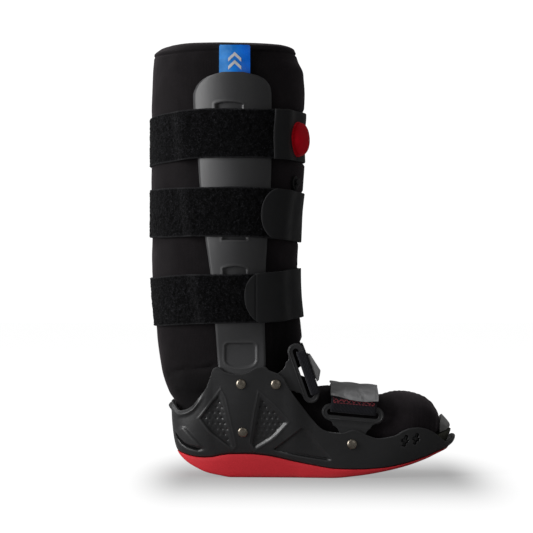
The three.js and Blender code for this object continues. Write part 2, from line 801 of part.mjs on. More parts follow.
// A curved plate lying on a webbing arch between two places across it
function archPlate({ bracket: spec, from, to, width, shift, lift }) {
  const { along, away, centre, outerY } = bracketPlace(spec);
  const rise = archRise(spec);
  const half = -outerY + gap + webbingThickness;
  const steps = 12;
  const rings = Array.from({ length: steps + 1 }, (_, k) => {
    const share = k / steps;
    const turn = mix(from, to, share);
    const raise = gap + lift * webbingWidth * (1 - share) ** 2;
    const corner = (out, side) => {
      const y = -(half + out) * Math.cos(turn);
      const foot = bracketFrameRadius + gap;
      const n = foot + (rise + out - foot) * Math.sin(turn) ** archPower;
      return centre
        .clone()
        .addScaledVector(away, n)
        .addScaledVector(along, (shift + (side * width) / 2) * webbingWidth)
        .add(new THREE.Vector3(0, y, 0));
    };
    return [
      corner(raise, -1),
      corner(raise, 1),
      corner(raise + flapThickness, 1),
      corner(raise + flapThickness, -1),
    ];
  });
  return skin(rings, { first: middleOf(rings[0]), last: middleOf(rings[steps]) });
}

// Shaft straps: closed bands over the liner and the uprights
function strapMiddle(strap, x) {
  const { middle, depth } = calf(strap.side * bootHeight);
  const share = between((x - middle) / depth, -1, 1);
  const end = share < 0 ? strap.back : strap.front;
  return mix(strap.side, end, share * share) * bootHeight;
}

function strapOut(x, z) {
  const share = z / bootHeight;
  const back = follow(uprightTable, "z", "back", share) * bootLength;
  const front = follow(uprightTable, "z", "front", share) * bootLength;
  const over = smooth(1 - Math.max(back - strapReach - x, x - front - strapReach, 0) / strapEase);
  return strapGap + (uprightSeat + uprightWall + layerGap - strapGap) * over;
}

function bandCorner(strap, angle, level, out) {
  const rough = calfPoint(angle, strap.side * bootHeight, 0);
  const z = strapMiddle(strap, rough.x) + level;
  return calfPoint(angle, z, strapOut(rough.x, z) + out);
}

function shaftStrap(strap) {
  const rings = Array.from({ length: strapStations }, (_, k) => {
    const angle = (2 * Math.PI * (k + 0.5)) / strapStations;
    const half = strapWidth / 2;
    return [
      bandCorner(strap, angle, -half, 0),
      bandCorner(strap, angle, half, 0),
      bandCorner(strap, angle, half, strapThickness),
      bandCorner(strap, angle, -half, strapThickness),
    ];
  });
  return skin(rings, { loop: true });
}

// A tab on a strap's outside, from the outer side round the front, its first end rounded if asked
function strapTab({ strap, start, end, round }, low, high) {
  const band = shaftStraps[strap];
  const level = band.side * bootHeight;
  const from = angleAt(start * bootLength, level, 0);
  const to = -angleAt(end * bootLength, level, 0);
  const pitch = (2 * Math.PI) / strapStations;
  const angles = [from];
  const endSteps = round ? [0.15, 0.4, 0.75, 1.3] : [];
  for (const share of endSteps) angles.push(from - share * round * pitch * 4);
  for (let k = Math.floor(from / pitch - 0.5); (k + 0.5) * pitch > to; k--) {
    if ((k + 0.5) * pitch < angles[angles.length - 1] - pitch * 0.3) angles.push((k + 0.5) * pitch);
  }
  const rings = angles.map((angle) => {
    const run = calfPoint(angle, level, 0).distanceTo(calfPoint(from, level, 0));
    const bend = round ? between(1 - run / (round * strapWidth), 0, 1) : 0;
    const half = (strapWidth / 2) * Math.max(0.12, Math.sqrt(1 - bend * bend));
    return [
      bandCorner(band, angle, -half, low),
      bandCorner(band, angle, half, low),
      bandCorner(band, angle, half, high),
      bandCorner(band, angle, -half, high),
    ];
  });
  return skin(rings, { first: middleOf(rings[0]), last: middleOf(rings[rings.length - 1]) });
}

const tabLow = strapThickness + layerGap;
const tabHigh = tabLow + tabThickness;

// Air pump: a bulb on the top strap's panel and a release valve on the liner below it
function calfPlace(angle, z, out) {
  const step = 0.02;
  const point = calfPoint(angle, z, out);
  const along = calfPoint(angle + step, z, out).sub(calfPoint(angle - step, z, out));
  const normal = new THREE.Vector3(along.y, -along.x, 0).normalize();
  if (normal.dot(new THREE.Vector3(point.x - calf(z).middle, point.y, 0)) < 0) normal.negate();
  return { point, normal };
}

function domed(radius, height, skirt, steps, sides) {
  const points = [new THREE.Vector2(0, -skirt), new THREE.Vector2(radius, -skirt)];
  for (let k = 0; k <= steps; k++) {
    const turn = ((Math.PI / 2) * k) / steps;
    points.push(new THREE.Vector2(k === steps ? 0 : radius * Math.cos(turn), height * Math.sin(turn)));
  }
  points.push(points[0].clone());
  return new THREE.LatheGeometry(points, sides);
}

function seated(geometry, { point, normal }) {
  const turn = new THREE.Quaternion().setFromUnitVectors(new THREE.Vector3(0, 1, 0), normal);
  return geometry.clone().applyQuaternion(turn).translate(point.x, point.y, point.z);
}

function pumpBulb() {
  const place = calfPlace(pump.angle, pump.bulb * bootHeight, tabHigh + 2 * gap);
  const bulb = seated(domed(bulbRadius, bulbHeight, bulbSkirt, 6, 20), place);
  return cut(bulb, strapTab({ ...strapTabs[0], start: 0 }, -bulbRadius, tabHigh + gap));
}

function releaseValve() {
  const strap = shaftStraps[1];
  const x = calfPoint(pump.valveAngle, strap.side * bootHeight, 0).x;
  const half = valveTallness * valveRadius;
  const z = strapMiddle(strap, x) + strapWidth / 2 + half + valveClearance;
  const knob = domed(valveRadius, valveHeight, valveRadius, 3, 12).scale(1, 1, valveTallness);
  const reach = 2 * half;
  const core = skin([levelRing(z - reach, gap), levelRing(z, gap), levelRing(z + reach, gap)], {
    first: new THREE.Vector3(calf(z).middle, 0, z - reach),
    last: new THREE.Vector3(calf(z).middle, 0, z + reach),
  });
  return cut(seated(knob, calfPlace(pump.valveAngle, z, 0)), core);
}

// Pull tab, held between the liner and the outer upright's top
function pullTab() {
  const columns = 5;
  const rings = pullTabRows.map((share, i) => {
    const z = share * bootHeight;
    const trim = i === pullTabRows.length - 1 ? pullTabCorner : 0;
    const side = (k, out) => {
      const x = pullTabLeft * bootLength + trim + ((pullTabWidth - 2 * trim) * k) / columns;
      return new THREE.Vector3(x, -calfSide(x, Math.min(z, 0.94 * bootHeight), out), z);
    };
    const outer = Array.from({ length: columns + 1 }, (_, k) => side(k, gap + pullTabThickness));
    const inner = Array.from({ length: columns + 1 }, (_, k) => side(columns - k, gap));
    return [...outer, ...inner];
  });
  return skin(rings, { first: middleOf(rings[0]), last: middleOf(rings[rings.length - 1]) });
}

// Toe guard: a soft wedge round the liner's toe, standing on the footbed
function toeGuard() {
  const steps = 10;
  const centre = guard.centre * bootLength;
  const back = linerToe.x * bootLength + gap;
  const front = toeX + toeLean - shellWall - guardClearance;
  const floor = (x) => footbedTop(soleShare(x)) + 2 * gap;
  const rings = Array.from({ length: steps + 1 }, (_, k) => {
    const turn = mix(-guard.spread, guard.spread, k / steps);
    const x = (reach) => mix(centre, reach, Math.cos(turn));
    const y = -guard.half * shellWidth * Math.sin(turn);
    const low = floor(x(front));
    const top = mix(low + guardEndHeight, guard.top * footHeight, Math.cos((1.45 * turn) / guard.spread) ** 0.7);
    return [
      new THREE.Vector3(x(back), y, floor(x(back))),
      new THREE.Vector3(x(front - guardCorner), y, floor(x(front - guardCorner))),
      new THREE.Vector3(x(front), y, mix(low, top, 0.3)),
      new THREE.Vector3(x(back + 2 * guardCorner), y, top - guardCorner / 2),
      new THREE.Vector3(x(back), y, top),
    ];
  });
  return skin(rings, { first: middleOf(rings[0]), last: middleOf(rings[steps]) });
}

// Colours and finish of the materials
const finish = (color, roughness, metalness = 0) =>
  new THREE.MeshStandardMaterial({ color, roughness, metalness });
const materials = {
  foam: finish(0x1c181a, 0.95),
  shell: finish(0x2b2b2d, 0.5),
  upright: finish(0x46464a, 0.45),
  rubber: finish(0xb02a33, 0.7),
  strap: finish(0x0f0f11, 0.98),
  tab: finish(0x1b1c1e, 0.7),
  webbing: finish(0x1c1c24, 0.85),
  flap: finish(0x5a5a5e, 0.6),
  footbed: finish(0x2a2a24, 0.85),
  guard: finish(0x4a4a4a, 0.9),
  nickel: finish(0xb8b0a6, 0.3, 1),
  bulb: finish(0x7a0410, 0.35),
  valve: finish(0x141416, 0.5),
  pull: finish(0x145abe, 0.25),
};

const boot = new THREE.Group();

function add(name, geometry, material) {
  const mesh = new THREE.Mesh(geometry, material);
  mesh.name = name;
  boot.add(mesh);
}

function addPair(name, geometry, material) {
  add(name + "_lateral", geometry, material);
  add(name + "_medial", mirrored(geometry), material);
}

add("liner", liner(), materials.foam);
add("shell", shell(), materials.shell);
add("outsole", outsole(), materials.rubber);
add("footbed", footbed(), materials.footbed);
add("toe_guard", toeGuard(), materials.guard);
addPair("upright", upright(), materials.upright);
for (const [name, rivet] of Object.entries(rivets)) {
  addPair("rivet_" + name, placed(rivetShape(), rivet), materials.nickel);
}
addPair("ankle_bracket", bracket(brackets.ankle), materials.shell);
addPair("forefoot_bracket", bracket(brackets.forefoot), materials.shell);
for (const strap of shaftStraps) add("shaft_strap_" + strap.name, shaftStrap(strap), materials.strap);
for (const tab of strapTabs) add(tab.name, strapTab(tab, tabLow, tabHigh), materials.tab);

add("ankle_strap", webbing(brackets.ankle), materials.webbing);
add("forefoot_strap", webbing(brackets.forefoot), materials.webbing);
for (const [name, spec] of Object.entries(archPlates)) add(name, archPlate(spec), materials.flap);
add("pump_bulb", pumpBulb(), materials.bulb);
add("release_valve", releaseValve(), materials.valve);
add("pull_tab", pullTab(), materials.pull);

export default boot;
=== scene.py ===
# A medical walking boot for the right foot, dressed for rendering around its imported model.
# Metres, +Z up, +X toward the toe, -Y is the outer side of the leg, the floor is at Z = 0.
import math

import bpy
import numpy as np
from mathutils import Matrix, Vector


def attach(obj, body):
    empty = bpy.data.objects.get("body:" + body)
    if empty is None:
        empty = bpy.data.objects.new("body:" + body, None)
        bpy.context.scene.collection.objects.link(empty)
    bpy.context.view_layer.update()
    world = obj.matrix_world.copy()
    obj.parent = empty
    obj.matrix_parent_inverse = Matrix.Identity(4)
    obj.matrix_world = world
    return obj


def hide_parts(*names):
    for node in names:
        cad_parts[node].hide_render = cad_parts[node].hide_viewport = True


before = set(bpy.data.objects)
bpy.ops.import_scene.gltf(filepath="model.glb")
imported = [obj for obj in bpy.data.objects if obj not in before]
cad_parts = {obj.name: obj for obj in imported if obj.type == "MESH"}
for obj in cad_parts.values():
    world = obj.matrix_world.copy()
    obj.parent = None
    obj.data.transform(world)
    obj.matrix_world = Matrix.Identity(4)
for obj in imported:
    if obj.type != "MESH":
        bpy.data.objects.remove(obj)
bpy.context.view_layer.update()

# Named sizes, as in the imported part
BOOT_LENGTH = 0.311
BOOT_HEIGHT = 0.437
LINER_WIDTH = 0.124
SHELL_WIDTH = 0.110
FOOT_HEIGHT = 0.092
LINER_WALL = 0.009
SHELL_WALL = 0.003
UPRIGHT_WALL = 0.004
UPRIGHT_SEAT = 0.0026
STRAP_WIDTH = 0.050
STRAP_THICKNESS = 0.002
TAB_THICKNESS = 0.0016
WEBBING_WIDTH = 0.046
WEBBING_THICKNESS = 0.002
FLAP_THICKNESS = 0.0012
FOOTBED_THICKNESS = 0.004
BRACKET_THICKNESS = 0.0025
FRAME_RADIUS = 0.0083
FRAME_LENGTH = 0.046
SLOT_LENGTH = 0.052
SLOT_WIDTH = 0.0061
BAR_WIDTH = 0.0054
RIVET_RADIUS = 0.0051
RIVET_HEIGHT = 0.0026
GAP = 0.0004
LAYER_GAP = 0.0005
BRACKET_GAP = 0.0008
STRAP_GAP = 0.0007
STRAP_REACH = 0.008
STRAP_EASE = 0.016
ARCH_POWER = 0.8
ARCH_FOOT = FRAME_RADIUS + GAP
STITCH_LENGTH = 0.0024
STITCH_PITCH = 0.0030
STITCH_RADIUS = 0.00042
TREAD_PITCH = 0.0125
TREAD_DEPTH = 0.0016
MM = 0.001

# Ends of the shell at the seam, how far its ends lean out at the rim, and powers of the rounded shapes
HEEL_X = -0.209 * BOOT_LENGTH
TOE_X = 0.6785 * BOOT_LENGTH
HEEL_LEAN = -0.022 * BOOT_LENGTH
TOE_LEAN = 0.025 * BOOT_LENGTH
HEEL_SQUARE = 4.2
TOE_SQUARE = 3.1
CALF_SQUARE = 2.35
FOOT_SQUARE = 2.5

# Calf: z as a share of height, middle and half depth of length, half width of liner width
CALF = [
    (0.2, -0.034, 0.232, 0.4), (0.3, -0.0407, 0.2335, 0.425), (0.361, -0.0445, 0.2371, 0.445),
    (0.423, -0.0523, 0.2371, 0.465), (0.487, -0.0556, 0.2386, 0.482), (0.54, -0.0531, 0.2418, 0.493),
    (0.61, -0.0505, 0.2435, 0.496), (0.67, -0.0462, 0.2478, 0.502), (0.725, -0.0442, 0.25, 0.503),
    (0.787, -0.0455, 0.2487, 0.5), (0.84, -0.0424, 0.2517, 0.503), (0.94, -0.045, 0.248, 0.5),
    (0.965, -0.0515, 0.2385, 0.499), (0.98, -0.0535, 0.2335, 0.496), (0.992, -0.0465, 0.2205, 0.49),
    (1.0, -0.0432, 0.2115, 0.48),
]
# Foot: heel or sole point and instep or toe point, each x of length and z of foot height, then half width
# of shell width
FOOT = [
    (-0.2733, 1.435, 0.1994, 1.522, 0.455), (-0.262, 1.174, 0.2026, 1.348, 0.425),
    (-0.238, 0.913, 0.1994, 1.217, 0.405), (-0.2165, 0.8, 0.1736, 1.158, 0.39),
    (-0.2, 0.6, 0.1715, 1.14, 0.385), (-0.1447, 0.42, 0.172, 1.125, 0.38),
    (-0.0482, 0.37, 0.1865, 1.1, 0.38), (0.0482, 0.365, 0.209, 1.065, 0.395),
    (0.135, 0.33, 0.2315, 1.02, 0.41), (0.2187, 0.265, 0.2605, 0.962, 0.41),
    (0.3055, 0.215, 0.3151, 0.968, 0.41), (0.3859, 0.205, 0.3923, 0.95, 0.41),
    (0.4662, 0.222, 0.4727, 0.928, 0.408), (0.5338, 0.265, 0.5402, 0.918, 0.395),
    (0.5852, 0.325, 0.5916, 0.87, 0.355), (0.6238, 0.42, 0.627, 0.775, 0.29),
    (0.6463, 0.46, 0.6479, 0.67, 0.19),
]
LINER_TOE = (0.6569, 0.555)
# The shell's seam over the outsole, from heel to toe, of foot height
SEAM = [
    (0, 0.277), (0.054, 0.23), (0.09, 0.217), (0.126, 0.221), (0.161, 0.243), (0.2, 0.257), (0.26, 0.259),
    (0.32, 0.245), (0.377, 0.215), (0.417, 0.187), (0.496, 0.142), (0.58, 0.104), (0.663, 0.098),
    (0.746, 0.111), (0.83, 0.154), (0.913, 0.229), (0.953, 0.277), (1, 0.32),
]
# The outsole's underside, likewise
GROUND = [
    (0, 0.255), (0.011, 0.222), (0.038, 0.155), (0.075, 0.094), (0.11, 0.05), (0.157, 0.02), (0.2, 0),
    (0.56, 0), (0.663, 0.026), (0.746, 0.065), (0.83, 0.12), (0.913, 0.2), (0.953, 0.25), (1, 0.3),
]
# Half width at the seam and flare up to the rim, from heel to toe, of shell width
PLAN = [
    (0, 0.4, 0.04), (0.06, 0.402, 0.07), (0.13, 0.405, 0.115), (0.25, 0.41, 0.13), (0.42, 0.43, 0.115),
    (0.5, 0.455, 0.04), (0.62, 0.485, 0.012), (0.72, 0.487, 0.01), (0.85, 0.47, 0.014), (1, 0.44, 0.02),
]
# How far the footbed rises at the toe, and the shell's rim, from heel to toe, of foot height
FOOTBED = [(0.86, 0), (0.9, 0.03), (0.93, 0.07), (0.96, 0.09), (1, 0.105)]
RIM = [
    (0, 0.815), (0.012, 0.77), (0.03, 0.72), (0.05, 0.733), (0.075, 0.777), (0.1, 0.87), (0.126, 0.98),
    (0.141, 1.1), (0.15, 1.185), (0.163, 1.205), (0.195, 1.15), (0.232, 1.128), (0.27, 1.15),
    (0.303, 1.205), (0.328, 1.21), (0.342, 1.175), (0.377, 1.13), (0.393, 1.09), (0.405, 1.02),
    (0.42, 0.94), (0.456, 0.786), (0.495, 0.63), (0.529, 0.527), (0.558, 0.496), (0.592, 0.486),
    (0.638, 0.52), (0.688, 0.457), (0.721, 0.427), (0.779, 0.452), (0.808, 0.502), (0.837, 0.533),
    (0.862, 0.539), (0.891, 0.522), (0.92, 0.478), (0.949, 0.405), (0.962, 0.375), (0.98, 0.39), (1, 0.435),
]
# Uprights: z of height, back and front edges of length
UPRIGHT = [
    (0.085, -0.05, 0.05), (0.1, -0.062, 0.066), (0.24, -0.072, 0.077), (0.27, -0.0756, 0.0791),
    (0.35, -0.083, 0.0765), (0.47, -0.098, 0.079), (0.547, -0.1132, 0.0846), (0.666, -0.1318, 0.0955),
    (0.75, -0.14, 0.098), (0.876, -0.1537, 0.0981), (0.895, -0.145, 0.095), (0.912, -0.125, 0.08),
    (0.922, -0.1, 0.055), (0.93, -0.06, 0.01),
]
# Shaft straps: middle heights at the back, side and front, of height
STRAPS = {"top": (0.776, 0.7905, 0.787), "middle": (0.61, 0.611, 0.6), "low": (0.404, 0.412, 0.4255)}
# How far a shaft strap presses the foam in at the front of the shin
PRESS = {"top": 3.4 * MM, "middle": 2.2 * MM, "low": 0.6 * MM}
# Tabs: the strap, where they start and end as shares of length, and how round the first end is
TABS = {
    "bulb_panel": ("top", 0.088, 0.13, 0), "strap_tab_middle": ("middle", 0.0515, 0.1, 0.3),
    "strap_tab_low": ("low", 0.004, 0.1, 0.3),
}
# Rivets: x of length and z of foot height
RIVETS = {
    "upright_top": (0, 1.03), "ankle_bracket": (0.112, 1.028),
    "upright_low": (0.0055, 0.503), "forefoot_bracket": (0.3576, 0.373),
}
# Brackets: the rivet, the frame's place from it (x of length, z of foot height), its tilt, half the neck
# of frame length, the foot's radius of frame radius, and how far the webbing shifts of its width
BRACKETS = {
    "ankle": ("ankle_bracket", 0.0891, 0.1185, -1.235, 0.413, 1.145, -0.026),
    "forefoot": ("forefoot_bracket", 0.0039, 0.3283, -0.088, 0.478, 1.446, 0),
}


def curve(table, column):
    """A smooth curve through one column of a table, without overshoot."""
    keys = np.array([row[0] for row in table], float)
    values = np.array([row[column] for row in table], float)
    slope = np.diff(values) / np.diff(keys)
    before, after = slope[:-1], slope[1:]
    same = before * after > 0
    inner = np.where(same, 2 * before * after / np.where(same, before + after, 1), 0)
    tangent = np.concatenate([slope[:1], inner, slope[-1:]])

    def at(x):
        x = np.clip(x, keys[0], keys[-1])
        i = np.clip(np.searchsorted(keys, x, side="right") - 1, 0, len(keys) - 2)
        step = keys[i + 1] - keys[i]
        t = (x - keys[i]) / step
        return (
            values[i] * (2 * t**3 - 3 * t**2 + 1)
            + step * tangent[i] * (t**3 - 2 * t**2 + t)
            + values[i + 1] * (3 * t**2 - 2 * t**3)
            + step * tangent[i + 1] * (t**3 - t**2)
        )

    return at


def mix(a, b, t):
    return a + (b - a) * t


def smooth(t):
    t = np.clip(t, 0, 1)
    return t * t * (3 - 2 * t)


def power(value, p):
    return np.sign(value) * np.abs(value) ** p


def stack(x, y, z):
    return np.stack(np.broadcast_arrays(x, y, z), -1).astype(float)


def unit(vectors):
    return vectors / np.maximum(np.linalg.norm(vectors, axis=-1, keepdims=True), 1e-12)


def hill(value, width):
    """1 where the value is 0, and nearly 0 from two widths away."""
    return np.exp(-((value / width) ** 2))


def eased(count):
    """Stations from 0 to 1 that are closest at both ends."""
    return (1 - np.cos(np.linspace(0, math.pi, count))) / 2


def run_of(points):
    """The length along a polyline at each of its points."""
    return np.concatenate([[0], np.cumsum(np.linalg.norm(np.diff(points, axis=0), axis=1))])


calf_middle, calf_depth, calf_width = (curve(CALF, c) for c in (1, 2, 3))
seam_share, ground_share, rim_share = curve(SEAM, 1), curve(GROUND, 1), curve(RIM, 1)
plan_half, plan_flare = curve(PLAN, 1), curve(PLAN, 2)
footbed_rise = curve(FOOTBED, 1)
upright_back, upright_front = curve(UPRIGHT, 1), curve(UPRIGHT, 2)


def calf(z):
    """The calf's middle, half depth and half width at a height."""
    share = z / BOOT_HEIGHT
    middle, depth = calf_middle(share) * BOOT_LENGTH, calf_depth(share) * BOOT_LENGTH
    return middle, depth, calf_width(share) * LINER_WIDTH


def calf_point(angle, z, out):
    """A point of the calf's skin moved out; angle 0 is the shin, and the outer side comes next."""
    middle, depth, width = calf(z)
    p = 2 / CALF_SQUARE
    x = middle + (depth + out) * power(np.cos(angle), p)
    return stack(x, -(width + out) * power(np.sin(angle), p), z)


def calf_side(x, z, out):
    """Distance from the middle plane to the calf's skin."""
    middle, depth, width = calf(z)
    share = np.clip(np.abs((x - middle) / (depth + out)), 0, 1)
    return (width + out) * (1 - share**CALF_SQUARE) ** (1 / CALF_SQUARE)


def angle_at(x, z, out=0.0):
    middle, depth, _ = calf(z)
    share = np.clip((x - middle) / (depth + out), -1, 1)
    return np.arccos(power(share, CALF_SQUARE / 2))


def seam_z(at):
    return seam_share(at) * FOOT_HEIGHT


def ground_z(at):
    return ground_share(at) * FOOT_HEIGHT


def rim_z(at):
    return rim_share(at) * FOOT_HEIGHT


def sole_share(x):
    return np.clip((x - HEEL_X) / (TOE_X - HEEL_X), 0, 1)


def lean(share):
    """How far the shell's wall has leaned out at a share of its height."""
    return 1 - (1 - np.clip(share, 0, 1)) ** 2


def trough_ends(share, inset):
    back = HEEL_X + HEEL_LEAN * lean(share) ** 0.6 + inset
    return back, TOE_X + TOE_LEAN * lean(share) ** 0.8 - inset


def trough_half(at, share, inset):
    """Half width of the shell at a station from heel to toe and a share of its height."""
    full = (plan_half(at) + plan_flare(at) * lean(share)) * SHELL_WIDTH
    square = np.where(at < 0.5, HEEL_SQUARE, TOE_SQUARE)
    end = np.clip(1 - np.abs(2 * at - 1) ** square, 0, 1) ** (1 / square)
    return (full - inset) * end


def trough_side(x, z, inset=0.0):
    """Distance from the middle plane to the shell's side at a place in X and Z."""
    at = (x - HEEL_X) / (TOE_X - HEEL_X)
    share = 0.0
    for _ in range(4):
        share = np.clip((z - seam_z(at)) / (rim_z(at) - seam_z(at)), 0, 1)
        back, front = trough_ends(share, inset)
        at = np.clip((x - back) / (front - back), 0, 1)
    return trough_half(at, share, inset)


def upright_outer(x, z):
    """Distance from the middle plane to an upright's outer face: inside the shell, then along the calf."""
    blend = smooth((z / FOOT_HEIGHT - 1.22) / 0.5)
    return mix(trough_side(x, z, SHELL_WALL + GAP), calf_side(x, z, UPRIGHT_SEAT + UPRIGHT_WALL), blend)


def footbed_top(level):
    return seam_z(level) + SHELL_WALL + GAP + FOOTBED_THICKNESS + footbed_rise(level) * FOOT_HEIGHT


# Meshes
def faces_of(rows, columns, wrap_rows=False):
    """Corner indices of a grid's quads: the vertex index, and the row and column before wrapping."""
    rows_of_quads = np.arange(rows if wrap_rows else rows - 1)
    i, j = (a.ravel() for a in np.meshgrid(rows_of_quads, np.arange(columns), indexing="ij"))
    ci = np.stack([i, i, i + 1, i + 1], 1)
    cj = np.stack([j, j + 1, j + 1, j], 1)
    return (ci % rows) * columns + cj % columns, ci, cj


def placed(name, data):
    """A new object in the scene."""
    thing = bpy.data.objects.new(name, data)
    bpy.context.scene.collection.objects.link(thing)
    return thing


def shaded(mesh, sharp):
    """Smooth shading, apart from edges sharper than an angle in degrees."""
    mesh.shade_smooth()
    mesh.set_sharp_from_angle(angle=math.radians(sharp))


def build(name, vertices, faces, uvs=None, sharp=50):
    """A mesh object from vertex and face arrays; uvs is a list of per-corner pairs in the faces' order."""
    mesh = bpy.data.meshes.new(name)
    mesh.from_pydata([tuple(v) for v in vertices], [], [list(map(int, f)) for f in faces])
    if uvs is not None:
        layer = mesh.uv_layers.new(name="cloth")
        layer.data.foreach_set("uv", np.asarray(uvs, np.float32).ravel())
    mesh.validate()
    shaded(mesh, sharp)
    return placed(name, mesh)


def outward(vertices, quads, faces, uvs=None):
    """The faces of a closed skin, looking outward, and their corners' uvs in the same order."""
    a, b, c, d = (vertices[quads[:, k]] for k in range(4))
    if np.einsum("ij,ij->", a, np.cross(b, c)) + np.einsum("ij,ij->", a, np.cross(c, d)) >= 0:
        return faces, uvs
    if uvs is not None:
        turned, start = [], 0
        for face in faces:
            turned.extend(uvs[start:start + len(face)][::-1])
            start += len(face)
        uvs = turned
    return [f[::-1] for f in faces], uvs


def grid(name, points, wrap_rows=False, ends=(), uv=None, sharp=50):
    """A skin over rows of points, each a ring. ends caps the first and last rows: a point, or "flat"."""
    rows, columns = points.shape[:2]
    vertices = list(points.reshape(-1, 3))
    quads, ci, cj = faces_of(rows, columns, wrap_rows)
    faces = [list(q) for q in quads]
    uvs = None if uv is None else list(uv[ci, cj].reshape(-1, 2))
    for row, end in zip((0, rows - 1), ends):
        vertices.append(points[row].mean(0) if isinstance(end, str) else np.array(end, float))
        for j in range(columns):
            triple = [row * columns + j, row * columns + (j + 1) % columns, len(vertices) - 1]
            faces.append(triple if row else triple[::-1])
            if uvs is not None:
                uvs.extend([uv[row, j]] * 3)
    array = np.array(vertices)
    faces, uvs = outward(array, quads, faces, uvs)
    return build(name, array, faces, uvs, sharp)


def cloth_of(run, section):
    """Cloth coordinates for a band: the length along it and the distance across it."""
    return np.stack(np.broadcast_arrays(run[:, None], np.append(section[:, 0], section[0, 0])[None, :]), -1)


def normals_of(points):
    """Unit normals of a grid of points whose rows are rings."""
    around = np.roll(points, -1, 1) - np.roll(points, 1, 1)
    return unit(np.cross(np.gradient(points, axis=0), around))


def wobble(points, size, seed):
    """Smooth noise, about -1 to 1, from waves of about that size in metres."""
    waves = 9
    random = np.random.default_rng(seed)
    total = np.zeros(points.shape[:-1])
    for _ in range(waves):
        way = random.normal(size=3)
        way *= 2 * math.pi / (size * random.uniform(0.7, 1.5)) / np.linalg.norm(way)
        total += np.sin(points @ way + random.uniform(0, 2 * math.pi))
    return total / math.sqrt(waves / 2) / 1.6


def mirrored(piece, name):
    """A copy of a mesh object on the other side of the boot."""
    mesh = piece.data.copy()
    mesh.name = name
    mesh.transform(Matrix.Scale(-1, 4, (0, 1, 0)))
    mesh.flip_normals()
    return placed(name, mesh)


def joined(name, pieces):
    """Several mesh objects as one."""
    bpy.ops.object.select_all(action="DESELECT")
    for piece in pieces:
        piece.select_set(True)
    bpy.context.view_layer.objects.active = pieces[0]
    bpy.ops.object.join()
    pieces[0].name = pieces[0].data.name = name
    return pieces[0]


# Materials
class Shader:
    """A procedural material being put together."""

    def __init__(self, name, color, roughness, **sockets):
        self.material = bpy.data.materials.new(name)
        self.material.use_nodes = True
        self.tree = self.material.node_tree
        self.out = self.tree.nodes["Principled BSDF"]
        self.out.inputs["Base Color"].default_value = (*color, 1)
        self.out.inputs["Roughness"].default_value = roughness
        for key, value in sockets.items():
            socket = self.out.inputs[key.replace("_", " ")]
            socket.default_value = (*value, 1) if isinstance(value, tuple) else value
        self.bumps = []

    def add(self, kind, inputs=None, **settings):
        node = self.tree.nodes.new("ShaderNode" + kind)
        for key, value in settings.items():
            setattr(node, key, value)
        for key, value in (inputs or {}).items():
            self.put(node.inputs[key], value)
        return node

    def put(self, socket, value):
        if isinstance(value, bpy.types.NodeSocket):
            self.tree.links.new(value, socket)
        elif isinstance(value, tuple) and len(value) == 3 and socket.type == "RGBA":
            socket.default_value = (*value, 1)
        else:
            socket.default_value = value

    def place(self):
        return self.add("TexCoord").outputs["Object"]

    def cloth(self):
        return self.add("UVMap", uv_map="cloth").outputs["UV"]

    def scaled(self, vector, scale, turn=(0, 0, 0)):
        return self.add("Mapping", {"Vector": vector, "Scale": scale, "Rotation": turn}).outputs["Vector"]

    def noise(self, vector, scale, detail=3.0, rough=0.55, twist=0.0):
        return self.add("TexNoise", {
            "Vector": vector, "Scale": scale, "Detail": detail, "Roughness": rough, "Distortion": twist,
        }).outputs["Fac"]

    def cells(self, vector, scale, feature="F1"):
        node = self.add("TexVoronoi", {"Vector": vector, "Scale": scale}, feature=feature)
        return node.outputs["Distance"]

    def waves(self, vector, scale, direction, twist):
        return self.add(
            "TexWave", {"Vector": vector, "Scale": scale, "Distortion": twist},
            bands_direction=direction, wave_profile="SIN",
        ).outputs["Fac"]

    def geometry(self, which):
        return self.add("NewGeometry").outputs[which]

    def range(self, value, low, high, to_low=0.0, to_high=1.0):
        """Eases a value's range from low to high into another range."""
        return self.add("MapRange", {
            "Value": value, "From Min": low, "From Max": high, "To Min": to_low, "To Max": to_high,
        }, interpolation_type="SMOOTHSTEP").outputs["Result"]

    def math(self, operation, a, b=0.0):
        node = self.add("Math", operation=operation)
        self.put(node.inputs[0], a)
        self.put(node.inputs[1], b)
        return node.outputs[0]

    def times(self, a, b):
        return self.math("MULTIPLY", a, b)

    def plus(self, a, b):
        return self.math("ADD", a, b)

    def minus(self, a, b):
        return self.math("SUBTRACT", a, b)

    def blend(self, factor, a, b, kind="MIX"):
        node = self.add("Mix", data_type="RGBA", blend_type=kind)
        self.put(node.inputs[0], factor)
        self.put(node.inputs[6], a)
        self.put(node.inputs[7], b)
        return node.outputs[2]

    def ramp(self, factor, stops):
        node = self.add("ValToRGB", {"Fac": factor})
        elements = node.color_ramp.elements
        while len(elements) < len(stops):
            elements.new(0.5)
        for element, (at, color) in zip(elements, stops):
            element.position = at
            element.color = (*color, 1)
        return node.outputs["Color"]

    def parts(self, vector):
        node = self.add("SeparateXYZ", {"Vector": vector})
        return node.outputs["X"], node.outputs["Y"], node.outputs["Z"]

    def color(self, value):
        self.put(self.out.inputs["Base Color"], value)

    def rough(self, value):
        self.put(self.out.inputs["Roughness"], value)

    def bump(self, height, distance, strength=1.0):
        """Adds relief of that depth in metres."""
        inputs = {"Height": height, "Distance": distance, "Strength": strength}
        if self.bumps:
            inputs["Normal"] = self.bumps[-1]
        self.bumps.append(self.add("Bump", inputs).outputs["Normal"])

    def done(self):
        if self.bumps:
            self.put(self.out.inputs["Normal"], self.bumps[-1])
        return self.material


